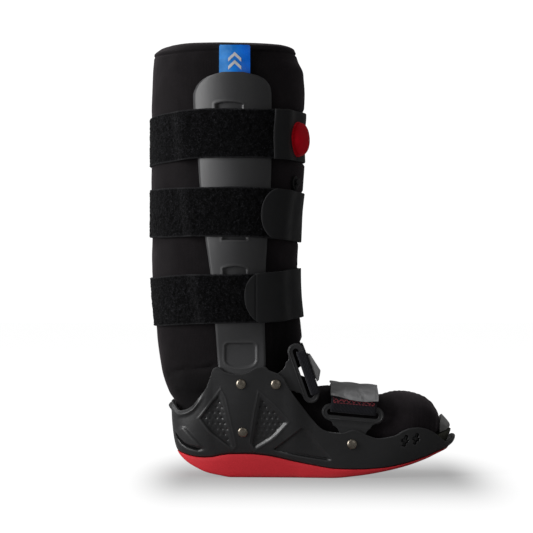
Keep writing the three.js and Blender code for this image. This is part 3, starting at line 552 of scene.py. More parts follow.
def foam_fabric():
    s = Shader("foam_fabric", (0.011, 0.009, 0.0105), 0.92, Specular_IOR_Level=0.2, Sheen_Weight=0.17,
               Sheen_Roughness=0.4, Sheen_Tint=(0.6, 0.5, 0.55))
    place = s.place()
    fine = s.noise(place, 1900, 2, 0.6)
    soft = s.noise(place, 70, 4, 0.6)
    worn = s.noise(s.scaled(place, (30, 30, 9)), 1, 3, 0.6)
    tone = s.ramp(s.plus(s.times(fine, 0.55), s.times(soft, 0.45)), [
        (0.3, (0.0042, 0.0033, 0.0039)), (0.55, (0.0076, 0.006, 0.007)), (0.75, (0.0135, 0.0112, 0.0128)),
    ])
    x, _, z = s.parts(place)
    # Painted shade: a near-black patch on the liner's front at the ankle, where it lies deep in the gap
    # between upright and bracket.
    gap_shade = s.times(s.range(x, 0.0305, 0.0325), s.range(z, 0.106, 0.112))
    gap_shade = s.times(gap_shade, s.range(z, 0.150, 0.166, 1, 0))
    tone = s.blend(s.times(gap_shade, 0.8), tone, (0.0022, 0.0019, 0.0022))
    # Painted shade: the liner is darker low at its back, round the heel's crease.
    heel_shade = s.times(s.range(z, 0.085, 0.125, 1, 0), s.range(x, -0.03, 0.0, 1, 0))
    tone = s.blend(s.times(heel_shade, 0.85), tone, (0.0022, 0.0019, 0.0022))
    # Painted light: the liner's front above the ankle and its toe end are made 2.3 times lighter.
    front = s.times(s.range(x, 0.02, 0.045), s.range(z, 0.15, 0.2))
    front = s.math("MAXIMUM", front, s.range(x, 0.12, 0.15))
    tone = s.blend(front, tone, (2.3, 2.3, 2.3), "MULTIPLY")
    s.color(tone)
    s.rough(s.range(worn, 0.3, 0.7, 0.84, 0.97))
    s.bump(s.waves(s.scaled(place, (1, 1, 0.05)), 260, "DIAGONAL", 1.5), 0.00012, 0.35)
    s.bump(fine, 0.00022, 0.55)
    s.bump(soft, 0.0012, 0.3)
    return s.done()


def shell_plastic():
    s = Shader("shell_plastic", (0.021, 0.021, 0.0225), 0.5, Specular_IOR_Level=0.5)
    place = s.place()
    grain = s.cells(place, 900, "SMOOTH_F1")
    fine = s.noise(place, 2600, 2, 0.6)
    broad = s.noise(place, 22, 3, 0.55)
    scuff = s.noise(s.scaled(place, (60, 60, 400), (0.3, 0.2, 0)), 1, 4, 0.7)
    worn = s.range(s.geometry("Pointiness"), 0.505, 0.53)
    tone = s.ramp(broad, [(0.35, (0.0150, 0.0150, 0.0160)), (0.65, (0.0200, 0.0200, 0.0212))])
    tone = s.blend(s.times(worn, 0.35), tone, (0.06, 0.06, 0.062))
    # Painted shade: near black in sharp hollows, found from the mesh's pointiness.
    recess_shade = s.range(s.geometry("Pointiness"), 0.44, 0.49, 1, 0)
    tone = s.blend(s.times(recess_shade, 0.75), tone, (0.004, 0.004, 0.0043))
    # Painted highlight: walls that face up and toward the left lamp, in the two dotted pockets and at the
    # forefoot pocket's tip, are made much lighter.
    across, _, upward = s.parts(s.geometry("Normal"))
    facing_light = s.minus(s.times(upward, 0.75), s.times(across, 0.6))
    x, _, z = s.parts(place)
    highlight_zone = s.plus(s.range(x, 0.050, 0.044), s.range(x, 0.086, 0.090))
    highlight_zone = s.times(highlight_zone, s.times(s.range(x, -0.040, -0.030), s.range(x, 0.098, 0.101, 1, 0)))
    highlight_zone = s.times(highlight_zone, s.range(z, 0.060, 0.065, 1, 0))
    painted_highlight = s.times(highlight_zone, s.range(facing_light, 0.26, 0.56, 0, 0.9))
    s.color(s.blend(painted_highlight, tone, (0.13, 0.13, 0.132)))
    s.rough(s.plus(s.range(scuff, 0.35, 0.7, 0.33, 0.44), s.times(fine, 0.04)))
    s.bump(grain, 0.00011, 0.4)
    s.bump(fine, 0.00006, 0.4)
    return s.done()


def upright_plastic():
    s = Shader("upright_plastic", (0.045, 0.045, 0.047), 0.42, Specular_IOR_Level=0.45)
    place = s.place()
    grain = s.cells(place, 750, "SMOOTH_F1")
    fine = s.noise(place, 2400, 2, 0.6)
    broad = s.noise(s.scaled(place, (20, 20, 7)), 1, 3, 0.55)
    tone = s.ramp(broad, [(0.35, (0.043, 0.043, 0.045)), (0.65, (0.053, 0.053, 0.0555))])
    worn = s.range(s.geometry("Pointiness"), 0.51, 0.54)
    s.color(s.blend(s.times(worn, 0.3), tone, (0.1, 0.1, 0.1)))
    s.rough(s.plus(s.range(broad, 0.35, 0.7, 0.36, 0.44), s.times(fine, 0.05)))
    x, _, z = s.parts(place)
    past = s.math("POWER", s.plus(x, 0.008), 2.0)
    bow = s.times(s.math("SQRT", s.plus(past, 0.000121)), -0.30)
    bow = s.plus(s.plus(bow, 0.0065), s.times(x, 0.05))
    s.bump(s.times(bow, s.range(z, 0.125, 0.185)), 1.0)
    s.bump(grain, 0.0001, 0.45)
    s.bump(fine, 0.00006, 0.35)
    return s.done()


def sole_rubber():
    s = Shader("sole_rubber", (0.40, 0.018, 0.028), 0.62, Specular_IOR_Level=0.35)
    place = s.place()
    speck = s.noise(place, 1500, 3, 0.7)
    broad = s.noise(place, 30, 3, 0.6)
    tone = s.ramp(speck, [
        (0.3, (0.60, 0.0175, 0.027)), (0.55, (0.71, 0.024, 0.037)), (0.75, (0.79, 0.045, 0.058)),
    ])
    dust = s.times(s.range(s.parts(place)[2], 0.0, 0.006, 1, 0), s.range(broad, 0.35, 0.7))
    s.color(s.blend(s.times(dust, 0.25), tone, (0.25, 0.12, 0.11)))
    s.rough(s.range(broad, 0.3, 0.7, 0.55, 0.7))
    s.bump(speck, 0.00015, 0.5)
    return s.done()


def guard_foam():
    s = Shader("guard_foam", (0.075, 0.075, 0.074), 0.95, Specular_IOR_Level=0.2, Sheen_Weight=0.2)
    place = s.place()
    weave = s.waves(s.scaled(place, (1, 1, 1), (0, 0.5, 0)), 330, "Z", 1.2)
    fuzz = s.noise(place, 900, 3, 0.7)
    s.color(s.blend(fuzz, (0.17, 0.17, 0.166), (0.36, 0.36, 0.351)))
    s.rough(s.range(fuzz, 0.3, 0.7, 0.88, 1.0))
    s.bump(weave, 0.0003, 0.5)
    s.bump(fuzz, 0.0004, 0.6)
    return s.done()


def strap_loop():
    s = Shader("strap_loop", (0.006, 0.006, 0.007), 0.95, Specular_IOR_Level=0.12, Sheen_Weight=0.035,
               Sheen_Roughness=0.35)
    place, cloth = s.place(), s.cloth()
    curl = s.noise(place, 360, 4, 0.78, 1.2)
    loops = s.cells(place, 900)
    tone = s.ramp(s.plus(s.times(curl, 0.75), s.times(loops, 0.25)), [
        (0.36, (0.0004, 0.0004, 0.0005)), (0.5, (0.0018, 0.0018, 0.0022)), (0.6, (0.009, 0.009, 0.0105)),
        (0.72, (0.034, 0.034, 0.038)),
    ])
    _, across, _ = s.parts(cloth)
    edge = s.range(s.math("ABSOLUTE", across), 0.0233, 0.0240)
    rib = s.waves(s.scaled(cloth, (1, 0, 0)), 420, "X", 0.6)
    selvage = s.blend(rib, (0.010, 0.010, 0.011), (0.026, 0.026, 0.028))
    s.color(s.blend(edge, tone, selvage))
    s.rough(s.range(curl, 0.3, 0.7, 1.0, 0.85))
    s.bump(curl, 0.0011, 0.9)
    s.bump(loops, 0.0005, 0.6)
    return s.done()


def tab_fabric():
    s = Shader("tab_fabric", (0.0115, 0.0118, 0.0125), 0.62, Specular_IOR_Level=0.22, Sheen_Weight=0.05)
    place, cloth = s.place(), s.cloth()
    fine = s.noise(place, 2200, 2, 0.6)
    broad = s.noise(place, 45, 3, 0.55)
    rib = s.waves(s.scaled(cloth, (1, 0, 0)), 330, "X", 0.5)
    s.color(s.blend(broad, (0.0130, 0.0132, 0.0141), (0.0185, 0.0189, 0.0201)))
    s.rough(s.range(broad, 0.3, 0.7, 0.55, 0.72))
    s.bump(rib, 0.00004, 0.5)
    s.bump(fine, 0.0001, 0.4)
    s.bump(broad, 0.0006, 0.25)
    return s.done()


def webbing():
    s = Shader("webbing", (0.011, 0.011, 0.0155), 0.82, Specular_IOR_Level=0.25, Sheen_Weight=0.15)
    cloth = s.cloth()
    warp = s.waves(s.scaled(cloth, (0, 1, 0)), 230, "Y", 0.15)
    weft = s.waves(s.scaled(cloth, (1, 0, 0)), 290, "X", 0.15)
    twill = s.waves(s.scaled(cloth, (1, 1, 0)), 180, "DIAGONAL", 0.1)
    weave = s.times(warp, s.plus(s.times(twill, 0.6), s.times(weft, 0.4)))
    fuzz = s.noise(s.place(), 1600, 2, 0.6)
    s.color(s.blend(weave, (0.0045, 0.0045, 0.007), (0.017, 0.0172, 0.0245)))
    s.rough(s.range(fuzz, 0.3, 0.7, 0.75, 0.92))
    s.bump(weave, 0.0004, 0.8)
    s.bump(fuzz, 0.0001, 0.4)
    return s.done()


def flap_fabric(name, gain):
    s = Shader(name, (0.1, 0.1, 0.103), 0.55, Specular_IOR_Level=0.4)
    place = s.place()
    crinkle = s.noise(s.scaled(place, (60, 60, 60)), 1, 5, 0.6, 1.5)
    fold = s.noise(s.scaled(place, (110, 30, 40), (0.2, 0, 0.6)), 1, 2, 0.5, 0.8)
    fine = s.noise(place, 1800, 2, 0.6)
    tones = [(at, tone * gain) for at, tone in ((0.3, 0.12), (0.6, 0.165), (0.8, 0.21))]
    s.color(s.ramp(crinkle, [(at, (tone, tone, tone + 0.004)) for at, tone in tones]))
    s.rough(s.range(crinkle, 0.3, 0.7, 0.48, 0.62))
    s.bump(fold, 0.0022, 0.5)
    s.bump(crinkle, 0.001, 0.35)
    s.bump(fine, 0.00007, 0.4)
    return s.done()


def nickel():
    s = Shader("nickel", (0.62, 0.575, 0.51), 0.24, Metallic=1.0)
    place = s.place()
    tarnish = s.noise(place, 420, 4, 0.65)
    scratch = s.noise(s.scaled(place, (3000, 300, 300), (0, 0.7, 0)), 1, 2, 0.6)
    s.color(s.blend(s.range(tarnish, 0.35, 0.75), (0.33, 0.295, 0.245), (0.21, 0.18, 0.145)))
    s.rough(s.plus(s.range(tarnish, 0.3, 0.7, 0.21, 0.29), s.times(scratch, 0.06)))
    s.bump(scratch, 0.00003, 0.4)
    return s.done()


def bulb_rubber():
    s = Shader("bulb_rubber", (0.5, 0.001, 0.01), 0.6, Specular_IOR_Level=0.12)
    place = s.place()
    pebble = s.cells(place, 650, "SMOOTH_F1")
    broad = s.noise(place, 90, 2, 0.5)
    s.color(s.ramp(broad, [(0.3, (0.68, 0.0008, 0.012)), (0.7, (0.82, 0.0014, 0.016))]))
    s.rough(s.range(broad, 0.3, 0.7, 0.52, 0.64))
    s.bump(pebble, 0.00025, 0.6)
    return s.done()


def pull_film():
    s = Shader("pull_film", (0.0, 0.12, 0.5), 0.26, Specular_IOR_Level=0.3, Coat_Weight=0.25,
               Coat_Roughness=0.15)
    place = s.place()
    x, _, _ = s.parts(place)
    # Painted light: the film is lighter blue toward its back edge and deeper toward its front, with a mottle
    # of noise.
    painted_side_light = s.plus(s.range(x, -0.018, 0.012), s.times(s.noise(place, 160, 3, 0.6), 0.5))
    crinkle = s.noise(place, 900, 4, 0.65, 0.8)
    s.color(s.ramp(s.times(painted_side_light, 0.7), [
        (0.1, (0.12, 0.43, 1.0)), (0.35, (0.012, 0.27, 0.95)), (0.8, (0.0, 0.17, 0.88)),
    ]))
    s.rough(s.range(crinkle, 0.3, 0.7, 0.16, 0.3))
    s.bump(crinkle, 0.00025, 0.5)
    s.bump(s.noise(place, 120, 2, 0.5), 0.001, 0.3)
    return s.done()


def plain(name, color, roughness, pattern, tones, rough, relief=None, **sockets):
    """A material whose tone, roughness and relief follow one pattern; tones are two colours or a ramp."""
    s = Shader(name, color, roughness, **sockets)
    value = pattern(s)
    if tones:
        s.color(s.blend(value, *tones) if len(tones[0]) == 3 else s.ramp(value, tones))
    s.rough(s.range(value, *rough))
    if relief:
        s.bump(value, *relief)
    return s.done()


def thread(name, low, high):
    return plain(name, high, 0.7,
                 lambda s: s.waves(s.scaled(s.place(), (1, 1, 1), (0.4, 0.5, 0.6)), 900, "DIAGONAL", 0.4),
                 (low, high), (0, 1, 0.6, 0.8), (0.00012, 0.5), Sheen_Weight=0.2)


FOAM, PLASTIC, UPRIGHT_PLASTIC, RUBBER = foam_fabric(), shell_plastic(), upright_plastic(), sole_rubber()
GUARD_FOAM, LOOP, TAB, WEBBING = guard_foam(), strap_loop(), tab_fabric(), webbing()
NICKEL, BULB, FILM = nickel(), bulb_rubber(), pull_film()
# The pull end's fabric is the flap fabric at 3.6 times instead of 1.55: painted light on a side that the
# lamps leave dark.
FLAP, PULL_END_PAINTED_LIGHT = flap_fabric("flap_fabric", 1.55), flap_fabric("pull_end_fabric_painted_light", 3.6)
RED_THREAD = thread("red_thread", (0.16, 0.012, 0.02), (0.36, 0.03, 0.05))
DARK_THREAD = thread("dark_thread", (0.004, 0.004, 0.005), (0.014, 0.014, 0.016))
LINING = plain("lining_fabric", (0.02, 0.019, 0.021), 0.95, lambda s: s.noise(s.place(), 900, 3, 0.65),
               [(0.3, (0.010, 0.0095, 0.0105)), (0.7, (0.034, 0.032, 0.035))], (0.3, 0.7, 0.9, 1.0),
               (0.0005, 0.7), Sheen_Weight=0.25, Sheen_Roughness=0.5)
FOOTBED_FOAM = plain("footbed_foam", (0.03, 0.03, 0.024), 0.85, lambda s: s.cells(s.place(), 700),
                     [(0.2, (0.05, 0.05, 0.038)), (0.8, (0.09, 0.09, 0.07))], (0, 0.7, 0.9, 0.75),
                     (0.0003, 0.6), Specular_IOR_Level=0.2)
VALVE = plain("valve_plastic", (0.009, 0.009, 0.01), 0.5, lambda s: s.noise(s.place(), 1200, 3, 0.6),
              ((0.006, 0.006, 0.0065), (0.014, 0.014, 0.015)), (0.3, 0.7, 0.42, 0.6),
              (0.00012, 0.5), Specular_IOR_Level=0.4)
WHITE = plain("print_white", (0.8, 0.8, 0.8), 0.35, lambda s: s.noise(s.place(), 900, 2),
              ((0.74, 0.75, 0.77), (0.86, 0.86, 0.86)), (0.3, 0.7, 0.3, 0.42))
# Near black for the vents, and painted shadow along the shell's shadow lines.
VENT_AND_SHADOW_DARK = plain("vent_and_painted_shadow_dark", (0.003, 0.003, 0.0035), 0.8, lambda s: s.noise(s.place(), 500), None,
             (0.3, 0.7, 0.7, 0.9), Specular_IOR_Level=0.1)


def dress(piece, material, slot, *nodes):
    """Gives a piece its material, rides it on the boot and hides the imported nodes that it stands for."""
    if not piece.data.materials:
        piece.data.materials.append(material)
    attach(piece, "root")
    if nodes:
        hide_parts(*nodes)
    return piece


def dress_pair(piece, material, slot, node):
    """Dresses a piece of the outer side and a mirrored copy of it for the inner side."""
    other = mirrored(piece, piece.name.replace("_lateral", "_medial"))
    dress(piece, material, slot, node + "_lateral")
    dress(other, material, slot, node + "_medial")


def two_tone(piece, first, second, chosen):
    """Gives a piece two materials, the second one on the chosen faces."""
    piece.data.materials.append(first)
    piece.data.materials.append(second)
    index = np.zeros(len(piece.data.polygons), int)
    index[chosen] = 1
    piece.data.polygons.foreach_set("material_index", index)


# Liner
LINER_ROWS = 230
LINER_COLUMNS = 150
LINER_ANGLES = 2 * math.pi * np.arange(LINER_COLUMNS)[None, :] / LINER_COLUMNS


def liner_columns():
    """Back and front points, half widths and powers of the liner's sections, from the rim to the toe."""
    rows = []
    for share in (0.94, 0.84, 0.787, 0.725, 0.67, 0.61, 0.54, 0.487, 0.423, 0.361):
        z = share * BOOT_HEIGHT
        middle, depth, width = (float(v) for v in calf(z))
        rows.append((middle - depth, z, middle + depth, z, width, 2 / CALF_SQUARE))
    for i, (back_x, back_z, front_x, front_z, half) in enumerate(FOOT):
        square = mix(CALF_SQUARE, FOOT_SQUARE, min(i / 5, 1))
        rows.append((
            back_x * BOOT_LENGTH, back_z * FOOT_HEIGHT, front_x * BOOT_LENGTH, front_z * FOOT_HEIGHT,
            half * SHELL_WIDTH, 2 / square,
        ))
    return [(i, *row) for i, row in enumerate(rows)]


def liner_skin(rows, inset):
    """The liner's skin at fractional section numbers."""
    table = liner_columns()
    back_x, back_z, front_x, front_z, half, p = (curve(table, c)(rows)[:, None] for c in range(1, 7))
    arm_x, arm_z = (front_x - back_x) / 2, (front_z - back_z) / 2
    trim = 1 - inset / np.hypot(arm_x, arm_z)
    c = power(np.cos(LINER_ANGLES), p)
    x = (back_x + front_x) / 2 + arm_x * trim * c
    z = (back_z + front_z) / 2 + arm_z * trim * c
    return stack(x, -(half - inset) * power(np.sin(LINER_ANGLES), p), z)


def crease(points, line, depth, width):
    """How deep a soft crease along a line of X and Z is at each point."""
    x, z = points[..., 0], points[..., 2]
    best = np.full(x.shape, 9.0)
    for (ax, az), (bx, bz) in zip(line[:-1], line[1:]):
        dx, dz = bx - ax, bz - az
        t = np.clip(((x - ax) * dx + (z - az) * dz) / (dx * dx + dz * dz), 0, 1)
        best = np.minimum(best, np.hypot(x - ax - t * dx, z - az - t * dz))
    return depth * hill(best, width)


HEEL_CREASE = [(-0.0735, 0.1035), (-0.0554, 0.1095), (-0.0403, 0.1090), (-0.028, 0.1125)]
ANKLE_CREASE = [(-0.062, 0.086), (-0.045, 0.0835), (-0.0335, 0.087)]
SHIN_CREASE = [(0.035, 0.205), (0.044, 0.17), (0.040, 0.135), (0.037, 0.115)]


def liner_detail(points):
    """Relief of the foam: soft waves, sewn creases, the rim's binding and its groove."""
    x, z = points[..., 0], points[..., 2]
    relief = 0.0008 * wobble(points, 0.09, 5) + 0.0004 * wobble(points, 0.03, 6)
    foot = smooth((0.115 - z) / 0.03) * smooth((x - 0.03) / 0.03)
    relief += foot * 0.00022 * np.sin(x * 2 * math.pi / 0.0052 + 2 * wobble(points, 0.06, 8))
    for strap in STRAPS:
        beside = np.abs(z - strap_middle(strap, x))
        relief -= front_press(strap, x) * smooth((STRAP_WIDTH / 2 + 0.003 - beside) / 0.004)
    instep = smooth((z - 0.05) / 0.02) * smooth((0.115 - z) / 0.01)
    relief += 0.0035 * instep * hill(x - 0.084, 0.010)
    relief -= 0.0052 * instep * hill(x - 0.139, 0.012)
    relief -= crease(points, HEEL_CREASE, 0.0026, 0.0019)
    relief -= crease(points, ANKLE_CREASE, 0.001, 0.0025)
    relief -= crease(points, SHIN_CREASE, 0.0012, 0.003)
    drop = 0.0085 + 0.002 * smooth((-x - 0.02) / 0.07)
    down = BOOT_HEIGHT - z
    relief -= 0.0011 * hill(down - drop, 0.0011)
    relief += 0.0007 * smooth((drop - down) / 0.002) * smooth(down / 0.004)
    return relief


def make_liner():
    last = len(liner_columns()) - 1
    outer = liner_skin(np.linspace(last, 0, LINER_ROWS), 0)
    neck_z = np.linspace(0.945, 1, 22)[:, None] * BOOT_HEIGHT
    roll = LINER_WALL / 2
    collar = calf_point(LINER_ANGLES, np.minimum(neck_z, BOOT_HEIGHT - roll)[:-6], 0)
    turn = np.linspace(0, math.pi, 13)[:, None]
    lip = calf_point(LINER_ANGLES, BOOT_HEIGHT - roll + roll * np.sin(turn), -roll + roll * np.cos(turn))
    outside = np.concatenate([outer, collar, lip[1:6]])
    normal = normals_of(outside)
    flip = np.sign(np.einsum("ijk,ijk->", normal, outside - outside.mean(1, keepdims=True)))
    outside = outside + flip * normal * liner_detail(outside)[..., None]
    for key, place in bracket_places.items():
        outside = pressed(outside, place, rises[key])
    inner = liner_skin(np.linspace(0.3, last - 2, 90), LINER_WALL)
    points = np.concatenate([outside, lip[6:], inner])
    toe = np.array([LINER_TOE[0] * BOOT_LENGTH, 0, LINER_TOE[1] * FOOT_HEIGHT])
    piece = grid("liner_foam", points, ends=(toe, toe - np.array([LINER_WALL, 0, 0])))
    lined = np.zeros(len(piece.data.polygons), bool)
    lined[(len(outside) + 3) * LINER_COLUMNS:(len(points) - 1) * LINER_COLUMNS] = True
    lined[-LINER_COLUMNS:] = True
    two_tone(piece, FOAM, LINING, lined)
    dress(piece, FOAM, "foam_fabric", "liner")


# Shell
def half_plane(a, b, x, z):
    """Distance to the left of the line from a to b."""
    dx, dz = b[0] - a[0], b[1] - a[1]
    return (dx * (z - a[1]) - dz * (x - a[0])) / math.hypot(dx, dz)


def pocket(corners, widths, x, z):
    """0 outside a convex outline in X and Z to 1 well inside it, and the distance inside."""
    shape, least = 1.0, 9.0
    for a, b, width in zip(corners, corners[1:] + corners[:1], widths):
        inside = half_plane(a, b, x, z)
        shape = shape * smooth(inside / (width * MM))
        least = np.minimum(least, inside)
    return shape, least


def millimetres(*pairs):
    return [(x * MM, z * MM) for x, z in pairs]


# Pockets: corners anticlockwise, how wide each side's wall is in mm, and the depth in metres
POCKET_BACK = (
    millimetres((-20.5, 88), (-42, 59.8), (-31, 45.5), (-9.5, 28.6), (-6.2, 32), (-11, 55), (-16.5, 80)),
    (2.4, 2.2, 2.2, 3.2, 6, 8, 6), 0.0022,
)
POCKET_FRONT = (
    millimetres((18, 86), (14, 66), (9.2, 36), (13.5, 28.4), (33, 40.3), (47.6, 57.2), (33, 73)),
    (6, 5, 2.6, 3.3, 3.3, 4, 7), 0.0022,
)
HEEL_LEDGE = (
    millimetres((-69, 48), (-65.5, 42.5), (-59.5, 36), (-52, 32.2), (-38, 30), (-50, 44.2), (-58.3, 52.2)),
    (1.2, 1.1, 1.1, 1.1, 3, 2.6, 3), -0.0017,
)
FORE_POCKET = (
    millimetres((31, 28.4), (60, 22), (93.5, 16.8), (80, 34.5), (67, 50.5), (61, 52.5), (51, 44.8)),
    (1.5, 1.5, 2.2, 6, 3, 2.4, 2.8), 0.0021,
)
HEEL_SHADOW = millimetres((-67, 43.6), (-63.4, 38.2), (-58.8, 33.6), (-52.1, 30), (-43.4, 28), (-36.5, 28.6))
FORE_SHADOW = millimetres((33, 28.7), (60, 22.8), (90, 18.3))
VENTS = millimetres((165, 37.2), (176, 38.9))
VENT_TILT = 0.26
DOT_PITCH = 5.5 * MM
DOT_RADIUS = 1.05 * MM


def dots(x, z):
    """A staggered lattice of small round dimples, 0 to 1."""
    row = np.round(z / DOT_PITCH)
    shift = 0.5 * (row % 2)
    column = np.round(x / DOT_PITCH - shift)
    far = np.hypot(x - (column + shift) * DOT_PITCH, z - row * DOT_PITCH)
    return np.exp(-((far / DOT_RADIUS) ** 2.4))


def bar(u, v, half_u, half_v):
    """1 inside a soft-edged bar of two half lengths in mm, 0 outside."""
    edge = 0.7 * MM
    return smooth((half_u * MM - np.abs(u)) / edge) * smooth((half_v * MM - np.abs(v)) / edge)


def vent_mask(x, z):
    """1 inside the two cross-shaped vents near the toe."""
    total = 0.0
    c, s = math.cos(VENT_TILT), math.sin(VENT_TILT)
    for vent_x, vent_z in VENTS:
        u, v = (x - vent_x) * c - (z - vent_z) * s, (x - vent_x) * s + (z - vent_z) * c
        total = np.maximum(total, np.maximum(bar(u, v, 1.75, 6.0), bar(u, v, 3.6, 1.9)))
    return total


def shadow_line(x, z):
    """1 along the shadowed crescent low on the heel and along the forefoot pocket's lower edge, whose faces
    get painted shadow.
    """
    side = stack(x, 0 * x, z)
    heel_shade = crease(side, HEEL_SHADOW, 1, 0.0017) * smooth((x + 0.070) / 0.006) * smooth((-0.034 - x) / 0.012)
    fore = crease(side, FORE_SHADOW, 1, 0.0010) * smooth((x - 0.030) / 0.010) * smooth((0.090 - x) / 0.006)
    return heel_shade + fore


def shell_relief(x, z, share):
    """Relief of the shell's side: pockets, dimples, vents, the heel's rolled rim and the seam's groove."""
    relief = 0.0
    for corners, widths, depth in (POCKET_BACK, POCKET_FRONT):
        shape, least = pocket(corners, widths, x, z)
        relief = relief - depth * shape - 0.0012 * dots(x, z) * smooth((least - 2.8 * MM) / (1.2 * MM))
        relief = relief + 0.0004 * hill(least + 0.0009, 0.0009)
    for corners, widths, depth in (HEEL_LEDGE, FORE_POCKET):
        relief = relief - depth * pocket(corners, widths, x, z)[0]
    column = hill(x - 0.001, 0.014) * smooth((z - 0.03) / 0.02) * smooth((0.104 - z) / 0.03)
    relief = relief - 0.0024 * shadow_line(x, z) + 0.0008 * column - 0.0034 * vent_mask(x, z)
    relief = relief + 0.0023 * smooth((-0.036 - x) / 0.012) * hill(0.93 - share, 0.05)
    return relief - 0.0005 * hill(share, 0.02)


def paired(at):
    return np.concatenate([at, at[-2:0:-1]])


def across_caps(points):
    """Faces that close a ring row straight across, for the first and the last row."""
    rows, columns = points.shape[:2]
    faces = []
    for base, flip in ((0, False), ((rows - 1) * columns, True)):
        for j in range(columns // 2):
            quad = [base + j, base + j + 1, base + columns - j - 1, base + (columns - j) % columns]
            quad = list(dict.fromkeys(quad))
            faces.append(quad[::-1] if flip else quad)
    return faces


def shell_stations():
    """Stations from heel to toe, closest where the shell's relief is finest."""
    def pitch(x):
        if -0.044 < x < -0.004 or 0.008 < x < 0.049:
            return 0.00062
        if 0.158 < x < 0.182 or 0.049 <= x < 0.097:
            return 0.0007
        return 0.0016

    first, last = HEEL_X + 0.010, TOE_X - 0.008
    inner, x = [], first
    while x < last:
        inner.append((x - HEEL_X) / (TOE_X - HEEL_X))
        x += pitch(x)
    rise = 1 - np.cos(np.linspace(0, math.pi / 2, 16))
    return np.concatenate([inner[0] * rise[:-1], inner, 1 - (1 - inner[-1]) * rise[:-1][::-1]])


def ring_of(at, share, inset, height):
    """A closed ring round the foot at stations at: heel, outer side, toe, inner side."""
    back, front = trough_ends(share, inset)
    x = mix(back, front, at)
    y = trough_half(at, share, inset)
    z = height(at, sole_share(x))
    y[0] = y[-1] = 0
    outer = stack(x, -y, z)
    return np.concatenate([outer, outer[-2:0:-1] * np.array([1, -1, 1])])


def foot_solid(name, points, sharp=45):
    """A closed solid whose rows are rings round the foot."""
    quads = faces_of(*points.shape[:2])[0]
    vertices = points.reshape(-1, 3)
    faces, _ = outward(vertices, quads, [list(q) for q in quads] + across_caps(points))
    return build(name, vertices, faces, sharp=sharp)


def make_shell():
    at = shell_stations()
    both = paired(at)
    levels = np.concatenate([
        np.linspace(0, 0.06, 6)[:-1], np.linspace(0.06, 0.8, 84)[:-1], np.linspace(0.8, 1, 26),
    ])
    outer = np.array([
        ring_of(at, share, 0.001 * (1 - smooth(share / 0.02)),
                lambda a, level, s=share: mix(seam_z(a), rim_z(a), s))
        for share in levels
    ])
    relief = shell_relief(outer[..., 0], outer[..., 2], levels[:, None] + 0 * both[None, :])
    away = np.clip(np.minimum(both, 1 - both) / 0.03, 0, 1)[None, :]
    outer[..., 1] += np.sign(outer[..., 1]) * relief * away
    level = levels[:, None]
    bead = 0.0028 * hill(0.92 - level, 0.055) - 0.0024 * smooth((level - 0.94) / 0.06)
    bead = bead * ((both < 0.2) | (both > 1))[None, :]
    outer[..., 0] += np.where(both < 0.5, -1.0, 1.0)[None, :] * bead * (1 - away)
    lip = np.array([
        ring_of(at, 1.0, SHELL_WALL / 2 * (1 - math.cos(turn)),
                lambda a, level, t=turn: rim_z(a) + 0.0009 * math.sin(t))
        for turn in np.linspace(0.25, math.pi - 0.25, 6)
    ])
    inner = np.array([
        ring_of(at, mix(0.08, 1, share), SHELL_WALL,
                lambda a, level, s=share: mix(seam_z(level) + SHELL_WALL, rim_z(a), s))
        for share in np.linspace(1, 0, 14)
    ])
    points = np.concatenate([outer, lip, inner])
    piece = foot_solid("shell_body", points, 70)
    outer_faces = piece.data.polygons[:len(levels) * points.shape[1]]
    centre = points.reshape(-1, 3)[np.array([face.vertices[:3] for face in outer_faces])].mean(1)
    x, z = centre[:, 0], centre[:, 2]
    # The vents and the shadow lines get the near-black material: painted shadow under the heel's ledge and
    # along the forefoot pocket's lower edge.
    two_tone(piece, PLASTIC, VENT_AND_SHADOW_DARK, np.flatnonzero((vent_mask(x, z) > 0.3) | (shadow_line(x, z) > 0.6)))
    return dress(piece, PLASTIC, "shell_plastic", "shell")


make_shell()


# Outsole and footbed: how far down the outsole's wall each row lies, and how far in
OUTSOLE_WALL = [
    (0, 0.0010), (0, 0.0002), (0.06, -0.0004), (0.25, -0.0006), (0.5, -0.0004), (0.75, 0),
    (0.9, 0.0003), (0.97, 0.0009), (1, 0.0018),
]
# The footbed's rows: share of the shell's height, how far in, and share of the footbed's thickness
FOOTBED_WALL = [(0.08, 0.0006, 0), (0.085, 0, 0.15), (0.095, 0, 0.85), (0.1, 0.0006, 1)]


def make_outsole():
    stations = eased(200)
    rows = []
    for share, inset in OUTSOLE_WALL:
        rows.append(ring_of(stations, 0.0, inset,
                            lambda a, level, s=share: mix(seam_z(level) - GAP, ground_z(level), s)))
    wall = rows[-1]
    for k in range(1, 15):
        pull = 1 - 0.97 * k / 14
        ring = wall.copy()
        ring[:, 1] *= pull
        groove = smooth((np.abs(np.sin(ring[:, 0] * math.pi / TREAD_PITCH)) - 0.86) / 0.08)
        ring[:, 2] += TREAD_DEPTH * groove * smooth((0.9 - pull) / 0.06) * smooth((k - 1) / 1.0)
        rows.append(ring)
    return dress(foot_solid("outsole_rubber", np.array(rows)), RUBBER, "sole_rubber", "outsole")


def make_footbed():
    side = SHELL_WALL + UPRIGHT_WALL + 0.0008 + 3 * GAP
    stations = eased(120)
    both = paired(stations)
    rows = []
    for share, inset, level_share in FOOTBED_WALL:
        def height(_, level, s=level_share):
            return mix(seam_z(level) + SHELL_WALL + GAP, footbed_top(level), s)

        back, front = trough_ends(share, SHELL_WALL + 2 * GAP + inset)
        front = mix(front, TOE_X + TOE_LEAN - SHELL_WALL - 2 * GAP - inset, level_share)
        ring = ring_of(stations, share, side + inset, height)
        ring[:, 0] = mix(back, front, both)
        ring[:, 2] = height(both, sole_share(ring[:, 0]))
        rows.append(ring)
    piece = dress(foot_solid("footbed_pad", np.array(rows)), FOOTBED_FOAM, "footbed_foam", "footbed")


make_outsole()
make_footbed()


